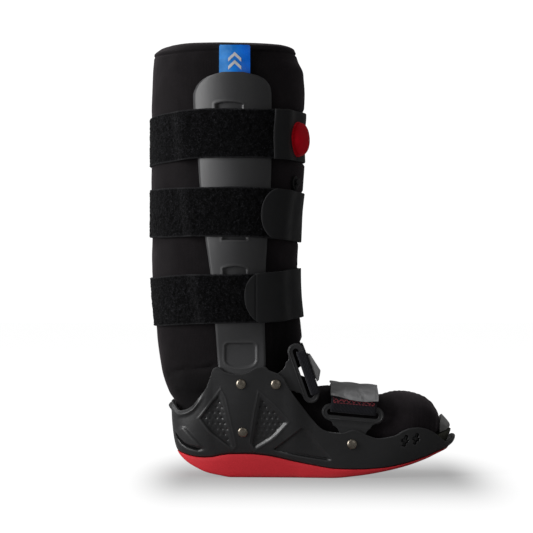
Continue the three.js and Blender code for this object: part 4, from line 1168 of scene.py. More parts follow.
# Toe guard
def make_toe_guard():
    spread = 0.46
    centre = 0.575 * BOOT_LENGTH
    back = LINER_TOE[0] * BOOT_LENGTH + GAP
    front = TOE_X + TOE_LEAN - SHELL_WALL - 0.002
    turn = np.linspace(-spread, spread, 60)[:, None]
    y = -0.4 * SHELL_WIDTH * np.sin(turn)

    def x_of(reach):
        return mix(centre, reach, np.cos(turn))

    def floor(reach):
        return footbed_top(sole_share(x_of(reach))) + 2 * GAP

    low = floor(front)
    top = mix(low + 0.005, 0.665 * FOOT_HEIGHT, np.cos(1.45 * turn / spread) ** 0.7)
    profile = [
        (back, floor(back)), (mix(back, front, 0.4), floor(mix(back, front, 0.4))),
        (front - 0.0018, floor(front - 0.0018)), (front - 0.0004, mix(low, top, 0.08)),
        (front, mix(low, top, 0.2)), (front - 0.0004, mix(low, top, 0.34)),
        (mix(back, front, 0.72), mix(low, top, 0.55)), (mix(back, front, 0.44), mix(low, top, 0.76)),
        (back + 0.0020, top - 0.0012), (back + 0.0012, top - 0.0002), (back + 0.0004, top - 0.0002),
        (back, top - 0.001), (back, mix(low, top, 0.5)),
    ]
    rows = np.stack([stack(x_of(reach), y, z)[:, 0] for reach, z in profile], 1)
    piece = grid("toe_guard_foam", rows, ends=("flat", "flat"), sharp=60)
    dress(piece, GUARD_FOAM, "guard_foam", "toe_guard")


make_toe_guard()


# Uprights: windows by their left, right, low and high sides, and the sunk panel, a pocket like the shell's
WINDOWS = [
    (-0.0252, 0.0020, 0.330, 0.3745), (-0.0180, 0.0060, 0.2390, 0.2860), (-0.0175, 0.0060, 0.166, 0.2105),
]
PANEL = (
    millimetres((-16.5, 133), (-16.5, 118), (-15, 115), (-12.3, 113), (-8, 111.5), (-0.5, 110.7),
                (7, 111.5), (11.3, 113), (14, 115), (15.5, 118), (15.5, 133), (14.3, 135), (12.3, 136),
                (-13.3, 136), (-15.3, 135)),
    [1.4] * 15, 0.0013,
)


def upright_edges(z):
    """X of an upright's back and front edges at a height."""
    share = z / BOOT_HEIGHT
    return upright_back(share) * BOOT_LENGTH, upright_front(share) * BOOT_LENGTH


def upright_relief(x, z):
    """Relief of an upright: its windows, each with a raised rim, and its sunk panel."""
    relief = 0.0
    for left, right, low, high in WINDOWS:
        arch = high + 0.0022 * (1 - ((x - (left + right) / 2) / ((right - left) / 2)) ** 2)
        inside = np.minimum(np.minimum(x - left, right - x), np.minimum(z - low, arch - z))
        relief = relief - 0.0022 * smooth(inside / 0.0007) + 0.0004 * hill(inside + 0.0014, 0.0007)
    corners, widths, depth = PANEL
    shape, least = pocket(corners, widths, x, z)
    return relief - depth * shape + 0.00045 * hill(least + 0.0009, 0.0008)


def make_upright():
    tip = mix(0.876, 0.93, np.sin(np.linspace(0, math.pi / 2, 36)))
    z = (np.concatenate([np.linspace(0.085, 0.876, 430)[:-1], tip]) * BOOT_HEIGHT)[:, None]
    back, front = upright_edges(z)
    across = eased(15)[:5] * 0.24
    flat = np.linspace(across[-1], 1 - across[-1], 54)[1:-1]
    u = np.concatenate([across, flat, 1 - across[::-1]])[None, :]
    v = np.linspace(1, 0, 12)[None, :]

    def rounded(share, depth):
        return depth * (1 - smooth(np.minimum(share, 1 - share) * (front - back) / 0.0016))

    x, x_in = mix(back, front, u), mix(back, front, v)
    crown = 0.0004 * (1 - (2 * u - 1) ** 2)
    outer_y = upright_outer(x, z) - rounded(u, 0.0013) + crown + upright_relief(x, z)
    inner_y = upright_outer(x_in, z) - UPRIGHT_WALL + rounded(v, 0.0008)
    points = np.concatenate([stack(x, -outer_y, z), stack(x_in, -inner_y, z)], 1)
    return grid("upright_frame_lateral", points, ends=("flat", "flat"), sharp=60)


dress_pair(make_upright(), UPRIGHT_PLASTIC, "upright_plastic", "upright")


# Rivets
def shell_normal(x, z, step=0.003):
    slope_x = (trough_side(x + step, z) - trough_side(x - step, z)) / (2 * step)
    slope_z = (trough_side(x, z + step) - trough_side(x, z - step)) / (2 * step)
    return Vector((-float(slope_x), -1, -float(slope_z))).normalized()


def lathe(name, profile, sides):
    """A closed turned body round Z from (radius, height) pairs that begin and end on the axis."""
    angle = 2 * math.pi * np.arange(sides)[None, :] / sides
    radius = np.array([p[0] for p in profile[1:-1]])[:, None]
    height = np.array([p[1] for p in profile[1:-1]])[:, None]
    points = stack(radius * np.cos(angle), radius * np.sin(angle), height)
    return grid(name, points, ends=((0, 0, profile[0][1]), (0, 0, profile[-1][1])), sharp=35)


def make_rivet(key, x_share, z_share):
    x, z = x_share * BOOT_LENGTH, z_share * FOOT_HEIGHT
    tail = -(SHELL_WALL + UPRIGHT_WALL + 3 * GAP)
    profile = [
        (0, tail - 0.0008), (0.0032, tail - 0.0008), (0.0034, tail - 0.0002), (0.002, tail),
        (0.002, 0.0001), (RIVET_RADIUS - 0.0003, 0.0001), (RIVET_RADIUS, 0.0004), (RIVET_RADIUS, 0.0007),
    ]
    for k in range(1, 15):
        turn = math.pi / 2 * k / 14
        radius = RIVET_RADIUS * math.cos(turn) ** 0.92
        profile.append((radius if k < 14 else 0, 0.0007 + (RIVET_HEIGHT - 0.0004) * math.sin(turn)))
    piece = lathe("rivet_cap_" + key + "_lateral", profile, 48)
    turned = shell_normal(x, z).to_track_quat("Z", "Y").to_matrix().to_4x4()
    piece.data.transform(Matrix.Translation((x, -float(trough_side(x, z)), z)) @ turned)
    dress_pair(piece, NICKEL, "rivet_nickel", "rivet_" + key)


for key, (x_share, z_share) in RIVETS.items():
    make_rivet(key, x_share, z_share)


# Brackets
class Place:
    """A bracket's frame: its middle, the ways along its slot and away from it, and its outer face's Y."""

    def __init__(self, key):
        rivet, frame_x, frame_z, tilt, self.neck, self.foot_share, shift = BRACKETS[key]
        x, z = RIVETS[rivet]
        self.rivet = (x * BOOT_LENGTH, z * FOOT_HEIGHT)
        reach = 2 * RIVET_RADIUS
        depths = [float(trough_side(self.rivet[0] + i * reach, self.rivet[1] + k * reach, SHELL_WALL))
                  for i in (-1, 0, 1) for k in (-1, 0, 1)]
        self.side = min(depths) - BRACKET_GAP
        self.along = np.array([math.cos(tilt), 0, math.sin(tilt)])
        self.away = np.array([-math.sin(tilt), 0, math.cos(tilt)])
        self.centre = np.array([
            self.rivet[0] + frame_x * BOOT_LENGTH, 0, self.rivet[1] + frame_z * FOOT_HEIGHT,
        ])
        self.shift = shift * WEBBING_WIDTH
        self.skew = 0.0

    def local(self, x, z):
        offset = np.array([x, 0, z]) - self.centre
        return offset @ self.along, offset @ self.away

    def point(self, along, away, y):
        """World points from distances along and away from the frame's middle and Y."""
        along, away, y = (a[..., None] for a in np.broadcast_arrays(along, away, y))
        return self.centre + along * self.along + away * self.away + y * np.array([0, 1, 0])


def arc(cx, cy, radius, start, end, count):
    turn = np.linspace(start, end, count)
    return [(cx + radius * math.cos(t), cy + radius * math.sin(t)) for t in turn]


def bend(a, b, c, count):
    """Points of a quadratic curve from a to c with control b."""
    t = np.linspace(0, 1, count)[:, None]
    a, b, c = (np.array(p, float) for p in (a, b, c))
    return [tuple(p) for p in (1 - t) ** 2 * a + 2 * t * (1 - t) * b + t**2 * c]


def plate(name, outlines, thickness, bevel):
    """A flat plate with rounded edges from its outline and holes in X and Y, below Z 0."""
    data = bpy.data.curves.new(name, "CURVE")
    data.dimensions = "2D"
    data.fill_mode = "BOTH"
    data.extrude = thickness / 2 - bevel
    data.bevel_depth = bevel
    data.bevel_resolution = 3
    data.offset = -bevel
    for outline in outlines:
        spline = data.splines.new("POLY")
        spline.points.add(len(outline) - 1)
        for point, (x, y) in zip(spline.points, outline):
            point.co = (x, y, 0, 1)
        spline.use_cyclic_u = True
    holder = placed(name, data)
    bpy.context.view_layer.update()
    mesh = bpy.data.meshes.new_from_object(holder.evaluated_get(bpy.context.evaluated_depsgraph_get()))
    bpy.data.objects.remove(holder)
    mesh.transform(Matrix.Translation((0, 0, -thickness / 2)))
    return placed(name, mesh)


def sleeve(path, ahead, up, radius, sides):
    """Rings of points round a path, from its directions ahead and up."""
    up = unit(up)
    other = np.cross(ahead, up)
    turn = 2 * math.pi * np.arange(sides)[None, :, None] / sides
    return path[:, None] + radius * (np.cos(turn) * up[:, None] + np.sin(turn) * other[:, None])


def tube(name, path, radius):
    """A round bead along a closed flat ring of points."""
    path = np.array(path, float)
    ahead = unit(np.roll(path, -1, 0) - np.roll(path, 1, 0))
    up = np.cross(ahead, np.array([0, 0, 1.0]))
    return grid(name, sleeve(path, ahead, up, radius, 10), wrap_rows=True)


def make_bracket(key):
    place = Place(key)
    end, radius = FRAME_LENGTH / 2, FRAME_RADIUS
    quarter, half = math.pi / 2, math.pi
    foot_x, foot_y = place.local(*place.rivet)
    foot_radius = place.foot_share * FRAME_RADIUS
    neck = place.neck * FRAME_LENGTH
    throat = -radius - 0.005
    waist = mix(-0.55 * radius, foot_y, 0.45)
    right, left = foot_x + foot_radius, foot_x - foot_radius
    outline = arc(end, 0, radius, quarter, -quarter, 22)
    outline += bend((neck + 0.004, -radius), (neck - 0.002, -radius), (neck - 0.003, throat), 6)
    outline += bend((neck - 0.003, throat), (right, waist), (right, foot_y), 10)[1:]
    outline += arc(foot_x, foot_y, foot_radius, 0, -half, 24)[1:-1]
    outline += bend((left, foot_y), (left, waist), (-neck + 0.003, throat), 10)
    outline += bend((-neck + 0.003, throat), (-neck + 0.002, -radius), (-neck - 0.004, -radius), 6)[1:]
    outline += arc(-end, 0, radius, -quarter, -3 * quarter, 22)
    middle = radius - BAR_WIDTH - SLOT_WIDTH / 2
    slot_end, slot_radius = (SLOT_LENGTH - SLOT_WIDTH) / 2, SLOT_WIDTH / 2
    slot = arc(slot_end, middle, slot_radius, -quarter, quarter, 12)
    slot += arc(-slot_end, middle, slot_radius, quarter, 3 * quarter, 12)
    body = plate("plate", [outline, slot], BRACKET_THICKNESS, 0.0006)
    rim_radius = radius - 0.0016
    rim = arc(end, 0, rim_radius, quarter, -quarter, 20)
    rim += arc(-end, 0, rim_radius, -quarter, -3 * quarter, 20)
    bead = tube("bead", [(x, y, -0.0001) for x, y in rim], 0.0007)
    piece = joined(key + "_slot_plate_lateral", [body, bead])
    basis = Matrix((place.along, place.away, (0, -1, 0))).transposed().to_4x4()
    piece.data.transform(Matrix.Translation((place.centre[0], -place.side, place.centre[2])) @ basis)
    shaded(piece.data, 40)
    return piece, place


bracket_places = {}
for key in BRACKETS:
    bracket, bracket_places[key] = make_bracket(key)
    dress_pair(bracket, PLASTIC, "shell_plastic", key + "_bracket")


# Webbing over the foot: how far the ankle's band pulls the foam in, lies toward one end of its slots,
# and runs back over the instep
ANKLE_PULL = 4.8 * MM
ANKLE_SLIP = 2.4 * MM
ANKLE_SKEW = 5.6 * MM
STITCH_TURN = np.array([0.3, 0.9, 0.31])


def drift(place, y):
    """How far along its slot a band's middle lies at a Y: the band runs askew over the foot."""
    half = place.side + GAP + WEBBING_THICKNESS
    return place.shift + place.skew * np.clip(1 - (y / half) ** 2, 0, 1)


def arch_rise(place):
    """How far out the webbing's arch has to run to clear the liner's instep."""
    table = liner_columns()
    rise = 0.0
    for (_, _, _, x0, z0, *_), (_, _, _, x1, z1, *_) in zip(table[:-1], table[1:]):
        for k in range(9):
            along, away = place.local(mix(x0, x1, k / 8), mix(z0, z1, k / 8))
            if abs(along - place.shift) < WEBBING_WIDTH / 2 + GAP:
                rise = max(rise, away)
    return rise + GAP + WEBBING_THICKNESS


def arch_curve(half, high, turn):
    """Y and distance away of an arch across the foot at angles from the outer side."""
    bulge = np.sin(np.clip(turn, 0, math.pi)) ** ARCH_POWER
    return -half * np.cos(turn), ARCH_FOOT + (high - ARCH_FOOT) * bulge


def resample(points, count):
    """Points evenly spaced along a polyline."""
    points = np.array(points, float)
    run = run_of(points)
    at = np.linspace(0, run[-1], count)
    return np.stack([np.interp(at, run, points[:, k]) for k in range(points.shape[1])], 1)


def ribbon(name, place, path, width, thickness):
    """A woven band along a path of (y, away) points, with rounded selvages."""
    ahead = unit(np.gradient(path, axis=0))
    normal = np.stack([-ahead[:, 1], ahead[:, 0]], 1)
    half, t = width / 2, thickness / 2
    flat = np.linspace(-half + 0.0012, half - 0.0012, 20)
    section = [(w, t) for w in flat] + [(half - 0.0004, t * 0.75), (half, 0), (half - 0.0004, -t * 0.75)]
    section += [(-w, -s) for w, s in section]
    section = np.array(section)
    along = drift(place, path[:, :1]) + section[None, :, 0]
    y = path[:, None, 0] + section[None, :, 1] * normal[:, None, 0]
    away = path[:, None, 1] + section[None, :, 1] * normal[:, None, 1]
    uv = cloth_of(run_of(path), section)
    return grid(name, place.point(along, away, y), ends=("flat", "flat"), uv=uv)


def webbing_path(place, rise):
    """The band's middle line: inside one bar, through the slot, round the bar, over the foot and back."""
    side, t = place.side, WEBBING_THICKNESS * 0.42
    bar_top, bar_foot = FRAME_RADIUS, FRAME_RADIUS - BAR_WIDTH
    outer = side + GAP + t + 0.0002
    inner = side - BRACKET_THICKNESS - GAP - t - 0.0002
    middle, radius = (outer + inner) / 2, (outer - inner) / 2
    turn = np.linspace(0, math.pi / 2, 60)
    points = list(zip(*arch_curve(inner, rise - 3.6 * t, np.linspace(0.62, 0, 14))))
    points += [(-inner, n) for n in np.linspace(bar_top, bar_foot - GAP, 5)]
    for k in np.linspace(0, math.pi, 13)[1:]:
        points.append((-(middle - radius * math.cos(k)), bar_foot - GAP - 0.0019 * math.sin(k) ** 0.6))
    points += [(-outer, n) for n in np.linspace(bar_foot - GAP, bar_top + GAP, 6)[1:-1]]
    points += list(zip(*arch_curve(outer, rise - t, turn)))
    points += [(-y, n) for y, n in points[-2::-1]]
    return resample(points, 240)


def stitches(name, lines, face):
    """Short threads along lines of (along, arch angle) pairs; face gives a point and a normal there."""
    sides = 6
    quads = faces_of(3, sides)[0]
    thickness = STITCH_RADIUS * np.array([0.7, 1.0, 0.7])[:, None, None]
    dip = np.array([-0.0002, 0.0002, -0.0002])[:, None]
    vertices, faces = [], []
    for (a0, t0), (a1, t1) in lines:
        ends, _ = face(np.array([a0, a1]), np.array([t0, t1]))
        length = np.linalg.norm(ends[1] - ends[0])
        count = max(2, int(length / STITCH_PITCH))
        half = 0.5 * STITCH_LENGTH / max(length, 1e-6)
        for share in (np.arange(count) + 0.5) / count:
            at = np.array([share - half, share, share + half])
            point, normal = face(mix(a0, a1, at), mix(t0, t1, at))
            line = point + normal * dip
            ahead = unit(np.gradient(line, axis=0))
            base = len(vertices)
            rings = sleeve(line, ahead, np.cross(ahead, STITCH_TURN), thickness, sides)
            vertices += list(rings.reshape(-1, 3))
            faces += [list(quad) for quad in base + quads]
            faces.append([base + j for j in range(sides)][::-1])
            faces.append([base + 2 * sides + j for j in range(sides)])
    return build(name, vertices, faces, sharp=80)


def arch_face(place, rise, lift):
    """Points and outward normals on the webbing's arch at a lift above its skin."""
    half = place.side + GAP + WEBBING_THICKNESS + lift

    def skin(along, turn):
        y, away = arch_curve(half, rise + lift, turn)
        return place.point(along, away, y)

    def face(along, turn):
        point = skin(along, turn)
        normal = unit(np.cross(skin(along, turn + 0.02) - point, place.along[None, :]))
        return point, normal * np.sign((normal * (point - place.centre)).sum(1, keepdims=True))

    return face


def sew_forefoot():
    """The boxed crosses and the zigzag at both ends of the forefoot band."""
    low, high, half = 0.03, 0.62, 0.0205
    lines = []
    for start, inward in ((low, 1), (math.pi - low, -1)):
        end = start + inward * (high - low)
        corners = [(-half, start), (half, start), (half, end), (-half, end)]
        lines += list(zip(corners, corners[1:] + corners[:1]))
        lines += [(corners[0], corners[2]), (corners[1], corners[3])]
        zigzag = [(mix(-half, half, k / 16), start + inward * (0.04 + 0.15 * (k % 2))) for k in range(17)]
        lines += list(zip(zigzag[:-1], zigzag[1:]))
    face = arch_face(bracket_places["forefoot"], rises["forefoot"], -0.0001)
    dress(stitches("forefoot_box_stitching", lines, face), RED_THREAD, "webbing")


def sew_ankle():
    """Two rows of stitches at each end of the ankle band."""
    lines = [((-0.0215, t), (0.019, t)) for t in (0.16, 0.2, math.pi - 0.16, math.pi - 0.2)]
    face = arch_face(bracket_places["ankle"], rises["ankle"], -0.0001)
    dress(stitches("ankle_bar_stitching", lines, face), DARK_THREAD, "webbing")


def pressed(points, place, rise):
    """Foam points moved back under a band that crosses the foot."""
    offset = points - place.centre
    along, away = offset @ place.along, offset @ place.away
    half = place.side + GAP + WEBBING_THICKNESS
    turn = np.sqrt(np.clip(1 - (points[..., 1] / half) ** 2, 0, 1))
    limit = ARCH_FOOT + (rise - ARCH_FOOT) * turn**ARCH_POWER - WEBBING_THICKNESS - 0.0008
    under = smooth((WEBBING_WIDTH / 2 + 0.006 - np.abs(along - drift(place, points[..., 1]))) / 0.006)
    deep = np.clip(away - limit, 0, 0.012) * under * (turn > 0.05)
    return points - deep[..., None] * place.away


rises = {key: arch_rise(place) for key, place in bracket_places.items()}
rises["ankle"] -= ANKLE_PULL
bracket_places["ankle"].shift += ANKLE_SLIP
bracket_places["ankle"].skew = -ANKLE_SKEW
for key, place in bracket_places.items():
    path = webbing_path(place, rises[key])
    band = ribbon(key + "_webbing", place, path, WEBBING_WIDTH, WEBBING_THICKNESS * 0.84)
    dress(band, WEBBING, "webbing", key + "_strap")
sew_forefoot()
sew_ankle()


# Soft plates on the webbing
FLAP_WIDTH = 1.043 * WEBBING_WIDTH
PULL_END_WIDTH = 0.6 * WEBBING_WIDTH


def arch_cover(name, key, start, end, width, shape, material, node):
    """A thin skin over a band between two angles; shape(share, side) gives its lift, growth and slide."""
    place, rise = bracket_places[key], rises[key]
    share = np.linspace(0, 1, 70)[:, None]
    side = np.linspace(-0.5, 0.5, 50)[None, :]
    raise_by, grow, slide = shape(share, side)
    turn = mix(start, end, share) + slide
    half = place.side + GAP + WEBBING_THICKNESS

    def skin(extra):
        out = GAP + raise_by + extra
        y, away = arch_curve(half + out, rise + out, turn)
        return place.point(side * width * grow, away, y)

    top, middle, low = skin(FLAP_THICKNESS), skin(FLAP_THICKNESS / 2), skin(0)
    points = np.concatenate([top, middle[:, -1:], low[:, ::-1], middle[:, :1]], 1)
    piece = grid(name, points, ends=("flat", "flat"), sharp=60)
    return dress(piece, material, "flap_fabric", node)


def flap_shape(share, side):
    waves = 0.0006 * np.sin(share * 16 + 5 * side) + 0.0005 * np.sin(share * 7 - 9 * side + 1)
    curl = 0.0022 * smooth((0.16 - share) / 0.16) * (0.5 + side**2 * 2)
    slide = (-0.11 - 0.15 * smooth((side + 0.5) / 0.6) + 0.05 * smooth((side - 0.2) / 0.3)) * (1 - share)
    return np.abs(waves) + curl, 1 + 0.012 * np.sin(share * 9), slide


def tab_shape(share, side):
    peak = np.clip(1 - np.abs(side - 0.2) / np.where(side > 0.2, 0.3, 0.7), 0, 1)
    fold = smooth(share / 0.22) * smooth((0.75 - share) / 0.4)
    return 0.0062 * fold * (0.25 + 0.75 * peak) + 0.0003, 1.0 + 0 * share, 0 * share * side


arch_cover("forefoot_cover", "forefoot", 0.42, 1.9, FLAP_WIDTH, flap_shape, FLAP, "forefoot_flap")
arch_cover("ankle_pull_end", "ankle", 1.1, 2.4, PULL_END_WIDTH, tab_shape, PULL_END_PAINTED_LIGHT, "ankle_strap_tab")


# Shaft straps
def strap_middle(strap, x):
    back, side, front = STRAPS[strap]
    middle, depth, _ = calf(side * BOOT_HEIGHT)
    share = np.clip((x - middle) / depth, -1, 1)
    return mix(side, np.where(share < 0, back, front), share * share) * BOOT_HEIGHT


def front_press(strap, x):
    return PRESS[strap] * smooth((x - 0.036) / 0.022)


def strap_out(x, z):
    """How far out a strap lies: on the foam, or over an upright and easing down beside it."""
    back, front = upright_edges(z)
    off = np.maximum(np.maximum(back - STRAP_REACH - x, x - front - STRAP_REACH), 0)
    return STRAP_GAP + (UPRIGHT_SEAT + UPRIGHT_WALL + LAYER_GAP - STRAP_GAP) * smooth(1 - off / STRAP_EASE)


def band_point(strap, angle, level, out):
    rough = calf_point(angle, STRAPS[strap][1] * BOOT_HEIGHT, 0)
    z = strap_middle(strap, rough[..., 0]) + level
    return calf_point(angle, z, strap_out(rough[..., 0], z) - front_press(strap, rough[..., 0]) + out)


def even_angles(strap, start, end, count):
    """Angles round the calf that are evenly spaced along the strap, and the length to each."""
    rough = np.linspace(start, end, 2000)
    run = run_of(calf_point(rough, STRAPS[strap][1] * BOOT_HEIGHT, 0.003))
    at = np.linspace(0, run[-1], count)
    return np.interp(at, run, rough), at


def softened(field, rounds):
    for _ in range(rounds):
        beside = np.roll(field, 1, 0) + np.roll(field, -1, 0) + np.roll(field, 1, 1) + np.roll(field, -1, 1)
        field = (field + beside) / 5
    return field


def strap_section(half, low, high, columns):
    """Level, out and a fuzz weight round a band's section, its outer face first."""
    face = np.linspace(-half + 0.0006, half - 0.0006, columns)
    middle = (low + high) / 2
    section = [(v, high, 1.0) for v in face]
    section += [(half - 0.0001, high - 0.0003, 0.3), (half, middle, 0), (half - 0.0002, low + 0.0001, 0)]
    section += [(v, low, 0.0) for v in np.linspace(half - 0.002, -half + 0.002, 8)]
    section += [(-half + 0.0002, low + 0.0001, 0), (-half, middle, 0), (-half + 0.0001, high - 0.0003, 0.3)]
    return np.array(section)


def make_strap(strap, seed):
    count = 520
    angle, run = even_angles(strap, 0, 2 * math.pi, count + 1)
    section = strap_section(STRAP_WIDTH / 2, 0, STRAP_THICKNESS, 58)
    random = np.random.default_rng(seed)
    fuzz = random.normal(size=(count, len(section)))
    fuzz = softened(fuzz, 1) * 0.00045 + softened(random.normal(size=fuzz.shape), 4) * 0.0006
    level = section[None, :, 0]
    out = section[None, :, 1] + np.clip(fuzz, -0.0006, 0.0011) * section[None, :, 2]
    points = band_point(strap, angle[:-1, None] + 0 * level, level, out)
    points[..., 2] += 0.0006 * wobble(points, 0.07, seed + 40)
    piece = grid("strap_band_" + strap, points, wrap_rows=True, uv=cloth_of(run, section), sharp=80)
    return dress(piece, LOOP, "strap_loop", "shaft_strap_" + strap)


TAB_LOW = STRAP_THICKNESS + LAYER_GAP
TAB_HIGH = TAB_LOW + TAB_THICKNESS


def make_tab(node):
    strap, start, end, rounding = TABS[node]
    level = STRAPS[strap][1] * BOOT_HEIGHT
    first = float(angle_at(start * BOOT_LENGTH, level))
    last = -float(angle_at(end * BOOT_LENGTH, level))
    angle, run = even_angles(strap, first, last, 200)
    scale = np.ones(len(run))[:, None]
    if rounding:
        radius = rounding * STRAP_WIDTH
        near = (1 - np.cos(np.linspace(0, math.pi / 2, 40))) * radius
        finer = np.concatenate([near, np.linspace(near[-1], run[-1], 170)[1:]])
        angle, run = np.interp(finer, run, angle), finer
        scale = np.maximum(0.03, np.sqrt(1 - np.clip(1 - run / radius, 0, 1) ** 2))[:, None]
    section = strap_section(STRAP_WIDTH / 2, TAB_LOW, TAB_HIGH, 30)
    outer = section[None, :, 1] > TAB_LOW + TAB_THICKNESS / 2
    out = section[None, :, 1] - 0.0004 * hill(run, 0.0008)[:, None] * outer
    points = band_point(strap, angle[:, None] + 0 * out, section[None, :, 0] * scale, out)
    if node == "strap_tab_low":
        fold = hill(points[..., 0] - 0.0148, 0.0007) * (points[..., 1] < 0)
        points[..., 1] += 0.0005 * fold * (section[None, :, 2] > 0)
    piece = grid(node + "_skin", points, ends=("flat", "flat"), uv=cloth_of(run, section), sharp=60)
    return dress(piece, TAB, "tab_fabric", node)


for seed, strap in enumerate(STRAPS):
    make_strap(strap, seed + 1)
for node in TABS:
    make_tab(node)
make_liner()


# Air pump and its release valve
def calf_place(angle, z, out):
    """A point on the calf's skin and the level direction out from it."""
    step = 0.02
    point = calf_point(np.array(angle), z, out)
    ahead = calf_point(np.array(angle + step), z, out) - calf_point(np.array(angle - step), z, out)
    normal = unit(np.array([ahead[1], -ahead[0], 0]))
    if normal @ (point - np.array([float(calf(z)[0]), 0, z])) < 0:
        normal = -normal
    return point, Vector(normal)


def seat(piece, point, normal):
    """Turns a body built up Z so that it stands on a point of the calf, with its own Y upright."""
    up = Vector((0, 0, 1))
    basis = Matrix((up.cross(normal).normalized(), up, normal)).transposed().to_4x4()
    piece.data.transform(Matrix.Translation(point) @ basis)


def make_bulb():
    """A domed squeeze bulb that follows the curve of its panel."""
    centre, drop, wide, tall, height = 0.5, -0.0032, 0.0165, 0.0175, 0.0112
    angles, run = even_angles("top", centre - 0.9, centre + 0.9, 800)
    middle = float(np.interp(centre, angles, run))
    turn = 2 * math.pi * np.arange(96)[None, :] / 96
    rings = [(1.0, -0.0012), (1.015, -0.0002), (1.015, 0.0006), (0.985, 0.0010)]
    for k in range(1, 26):
        rise = math.pi / 2 * k / 26
        rings.append((0.97 * math.cos(rise), 0.0010 + (height - 0.0010) * math.sin(rise) ** 0.85))
    rings = np.array(rings)
    across = middle + wide * rings[:, :1] * np.cos(turn)
    level = drop + tall * rings[:, :1] * np.sin(turn)
    points = band_point("top", np.interp(across, run, angles), level, TAB_HIGH + rings[:, 1:] + 0 * turn)
    tip = band_point("top", np.array(centre), np.array(drop), np.array(TAB_HIGH + height))
    piece = grid("bulb_dome", points, ends=("flat", tuple(tip)), sharp=50)
    return dress(piece, BULB, "bulb_rubber", "pump_bulb")


def make_valve():
    angle, half, radius = 0.56, 0.0075, 0.005
    x = float(calf_point(np.array(angle), STRAPS["middle"][1] * BOOT_HEIGHT, 0)[0])
    z = float(strap_middle("middle", np.array(x))) + STRAP_WIDTH / 2 + half + 0.0007
    body = lathe("body", [
        (0, -0.0008), (radius, -0.0008), (radius, 0.0022), (radius - 0.0005, 0.0027), (0, 0.0027),
    ], 48)
    body.data.transform(Matrix.Diagonal((0.95, 1.45, 1, 1)))
    stem = lathe("stem", [
        (0, 0.0020), (0.0027, 0.0020), (0.0027, 0.0042), (0.0034, 0.0046), (0.0036, 0.0058),
        (0.0030, 0.0066), (0.0015, 0.0069), (0, 0.0069),
    ], 32)
    stem.data.transform(Matrix.Translation((0, 0.0012, 0)))
    nozzle = lathe("nozzle", [
        (0, 0), (0.0021, 0), (0.0021, 0.0024), (0.0014, 0.0027), (0.0013, 0.0048), (0, 0.0049),
    ], 24)
    nozzle.data.transform(Matrix.Translation((0, -0.0020, 0.0030)) @ Matrix.Rotation(math.pi / 2, 4, "X"))
    piece = joined("valve_body", [body, stem, nozzle])
    seat(piece, *calf_place(angle, z, 0.0006))
    return dress(piece, VALVE, "valve_plastic", "release_valve")


make_bulb()
make_valve()


# Pull tab with a plain arrow that points up, and the feet of the arrow's two bars
ARROW_HEIGHTS = (0.4090, 0.4170)


def tab_face(x, z, out):
    return -calf_side(x, np.minimum(z, 0.94 * BOOT_HEIGHT), out)


def film_wave(x, z):
    return 0.0003 * np.sin(x * 260 + z * 130) + 0.0002 * np.sin(z * 420 - x * 90)


def make_pull_tab():
    left, width, thickness = -0.07 * BOOT_LENGTH, 0.031, 0.0008
    u = np.linspace(0, 1, 40)[None, :]
    z = np.linspace(0.86, 0.993, 80)[:, None] * BOOT_HEIGHT
    corner = 0.0008 * smooth((z - 0.989 * BOOT_HEIGHT) / 0.0015)
    x = left + corner + (width - 2 * corner) * u
    outer = stack(x, tab_face(x, z, GAP + thickness + film_wave(x, z) + 0.0002), z)
    inner = stack(x, tab_face(x, z, GAP), z)
    film = grid("pull_label", np.concatenate([outer, inner[:, ::-1]], 1), ends=("flat", "flat"), sharp=50)
    dress(film, FILM, "pull_plastic", "pull_tab")
    half, rise, bar_height, print_height = 0.0065, 0.0062, 0.0036, 0.00022
    across = np.linspace(-half, half, 27)[:, None]
    parts = []
    for base in ARROW_HEIGHTS:
        x = left + width / 2 + across + np.zeros(4)
        z = base + rise * (1 - np.abs(across) / half) + np.array([0, 0, bar_height, bar_height])
        lift = 0.00018 + np.array([0, print_height, print_height, 0])
        y = tab_face(x, z, GAP + thickness + film_wave(x, z) + lift)
        parts.append(grid("arrow", stack(x, y, z), ends=("flat", "flat"), sharp=30))
    dress(joined("pull_label_arrow", parts), WHITE, "pull_plastic")


make_pull_tab()


# Floor, light and camera
FLOOR_GLOW = 0.97
FLOOR_SHADE = 0.6
FLOOR_REACH = 6
SHADE_ENDS = (-0.051, 0.206)
WORLD_LIGHT = 0.16
WORLD_SEEN = 1.06
CAMERA_DISTANCE = 2.2
VIEW_WIDTH = 0.5479
VIEW_MIDDLE = (0.0255, 0.2125)
# Each lamp's place, what it looks at, its width and height, and its watts
LAMPS = {
    "top_softbox": ((-0.85, 0.45, 1.95), (0.05, 0, 0.2), (1.8, 1.4), 20),
    "left_softbox": ((-1.8, -0.8, 0.75), (0, 0, 0.22), (0.8, 1.5), 36),
    "front_fill": ((1.1, -2.0, 1.0), (0, 0, 0.2), (1.2, 1.2), 1.8),
}


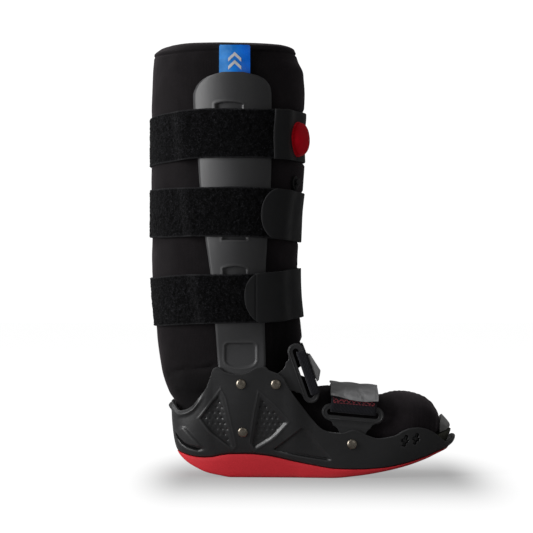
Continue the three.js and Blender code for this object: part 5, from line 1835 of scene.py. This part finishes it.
def floor_material():
    """A white floor that the camera sees glowing, apart from a painted soft shadow along the sole."""
    s = Shader("floor_white", (0.8, 0.8, 0.8), 0.95, Specular_IOR_Level=0.1, Emission_Color=(1.0, 1.0, 1.0))
    place = s.place()
    x, y, _ = s.parts(place)
    beyond = s.math("MAXIMUM", s.minus(x, SHADE_ENDS[1]), s.minus(SHADE_ENDS[0], x))
    beyond = s.math("DIVIDE", s.math("MAXIMUM", beyond, 0.0), 0.042)
    before = s.math("DIVIDE", s.plus(y, 0.03), 0.2)
    far = s.plus(s.times(beyond, beyond), s.times(before, before))
    glow = s.minus(FLOOR_GLOW, s.times(s.math("EXPONENT", s.times(far, -1.0)), FLOOR_SHADE))
    sight = s.add("LightPath").outputs["Is Camera Ray"]
    s.put(s.out.inputs["Emission Strength"], s.times(glow, sight))
    pale = s.blend(s.noise(place, 3, 2), (0.12, 0.12, 0.12), (0.125, 0.125, 0.125))
    s.color(s.blend(sight, (0.30, 0.30, 0.30), pale))
    return s.done()


def make_world():
    """Even white light, bright only where the camera sees it."""
    world = bpy.data.worlds.new("studio")
    bpy.context.scene.world = world
    world.use_nodes = True
    tree = world.node_tree
    background = tree.nodes["Background"]
    background.inputs["Color"].default_value = (1, 1, 1, 1)
    sight = tree.nodes.new("ShaderNodeLightPath")
    dim = tree.nodes.new("ShaderNodeMapRange")
    dim.inputs["To Min"].default_value = WORLD_LIGHT
    dim.inputs["To Max"].default_value = WORLD_SEEN
    tree.links.new(sight.outputs["Is Camera Ray"], dim.inputs["Value"])
    tree.links.new(dim.outputs["Result"], background.inputs["Strength"])


def area_light(name, place, target, size, watts):
    data = bpy.data.lights.new(name, "AREA")
    data.shape = "RECTANGLE"
    data.size, data.size_y = size
    data.energy = watts
    lamp = placed(name, data)
    lamp.location = place
    lamp.rotation_euler = (Vector(target) - Vector(place)).to_track_quat("-Z", "Y").to_euler()
    lamp.visible_camera = False


def make_camera():
    data = bpy.data.cameras.new("camera")
    data.sensor_fit = "HORIZONTAL"
    data.sensor_width = 36
    data.lens = 36 * CAMERA_DISTANCE / VIEW_WIDTH
    camera = placed("camera", data)
    camera.location = (VIEW_MIDDLE[0], -CAMERA_DISTANCE, VIEW_MIDDLE[1])
    camera.rotation_euler = (math.pi / 2, 0, 0)
    bpy.context.scene.camera = camera


corners = FLOOR_REACH * np.array([(-1, -1, 0), (1, -1, 0), (1, 1, 0), (-1, 1, 0)])
floor = build("floor", corners, [[0, 1, 2, 3]])
floor.data.materials.append(floor_material())
make_world()
for name, (place, target, size, watts) in LAMPS.items():
    area_light(name, place, target, size, watts)
make_camera()
bpy.context.scene.view_settings.view_transform = "Standard"
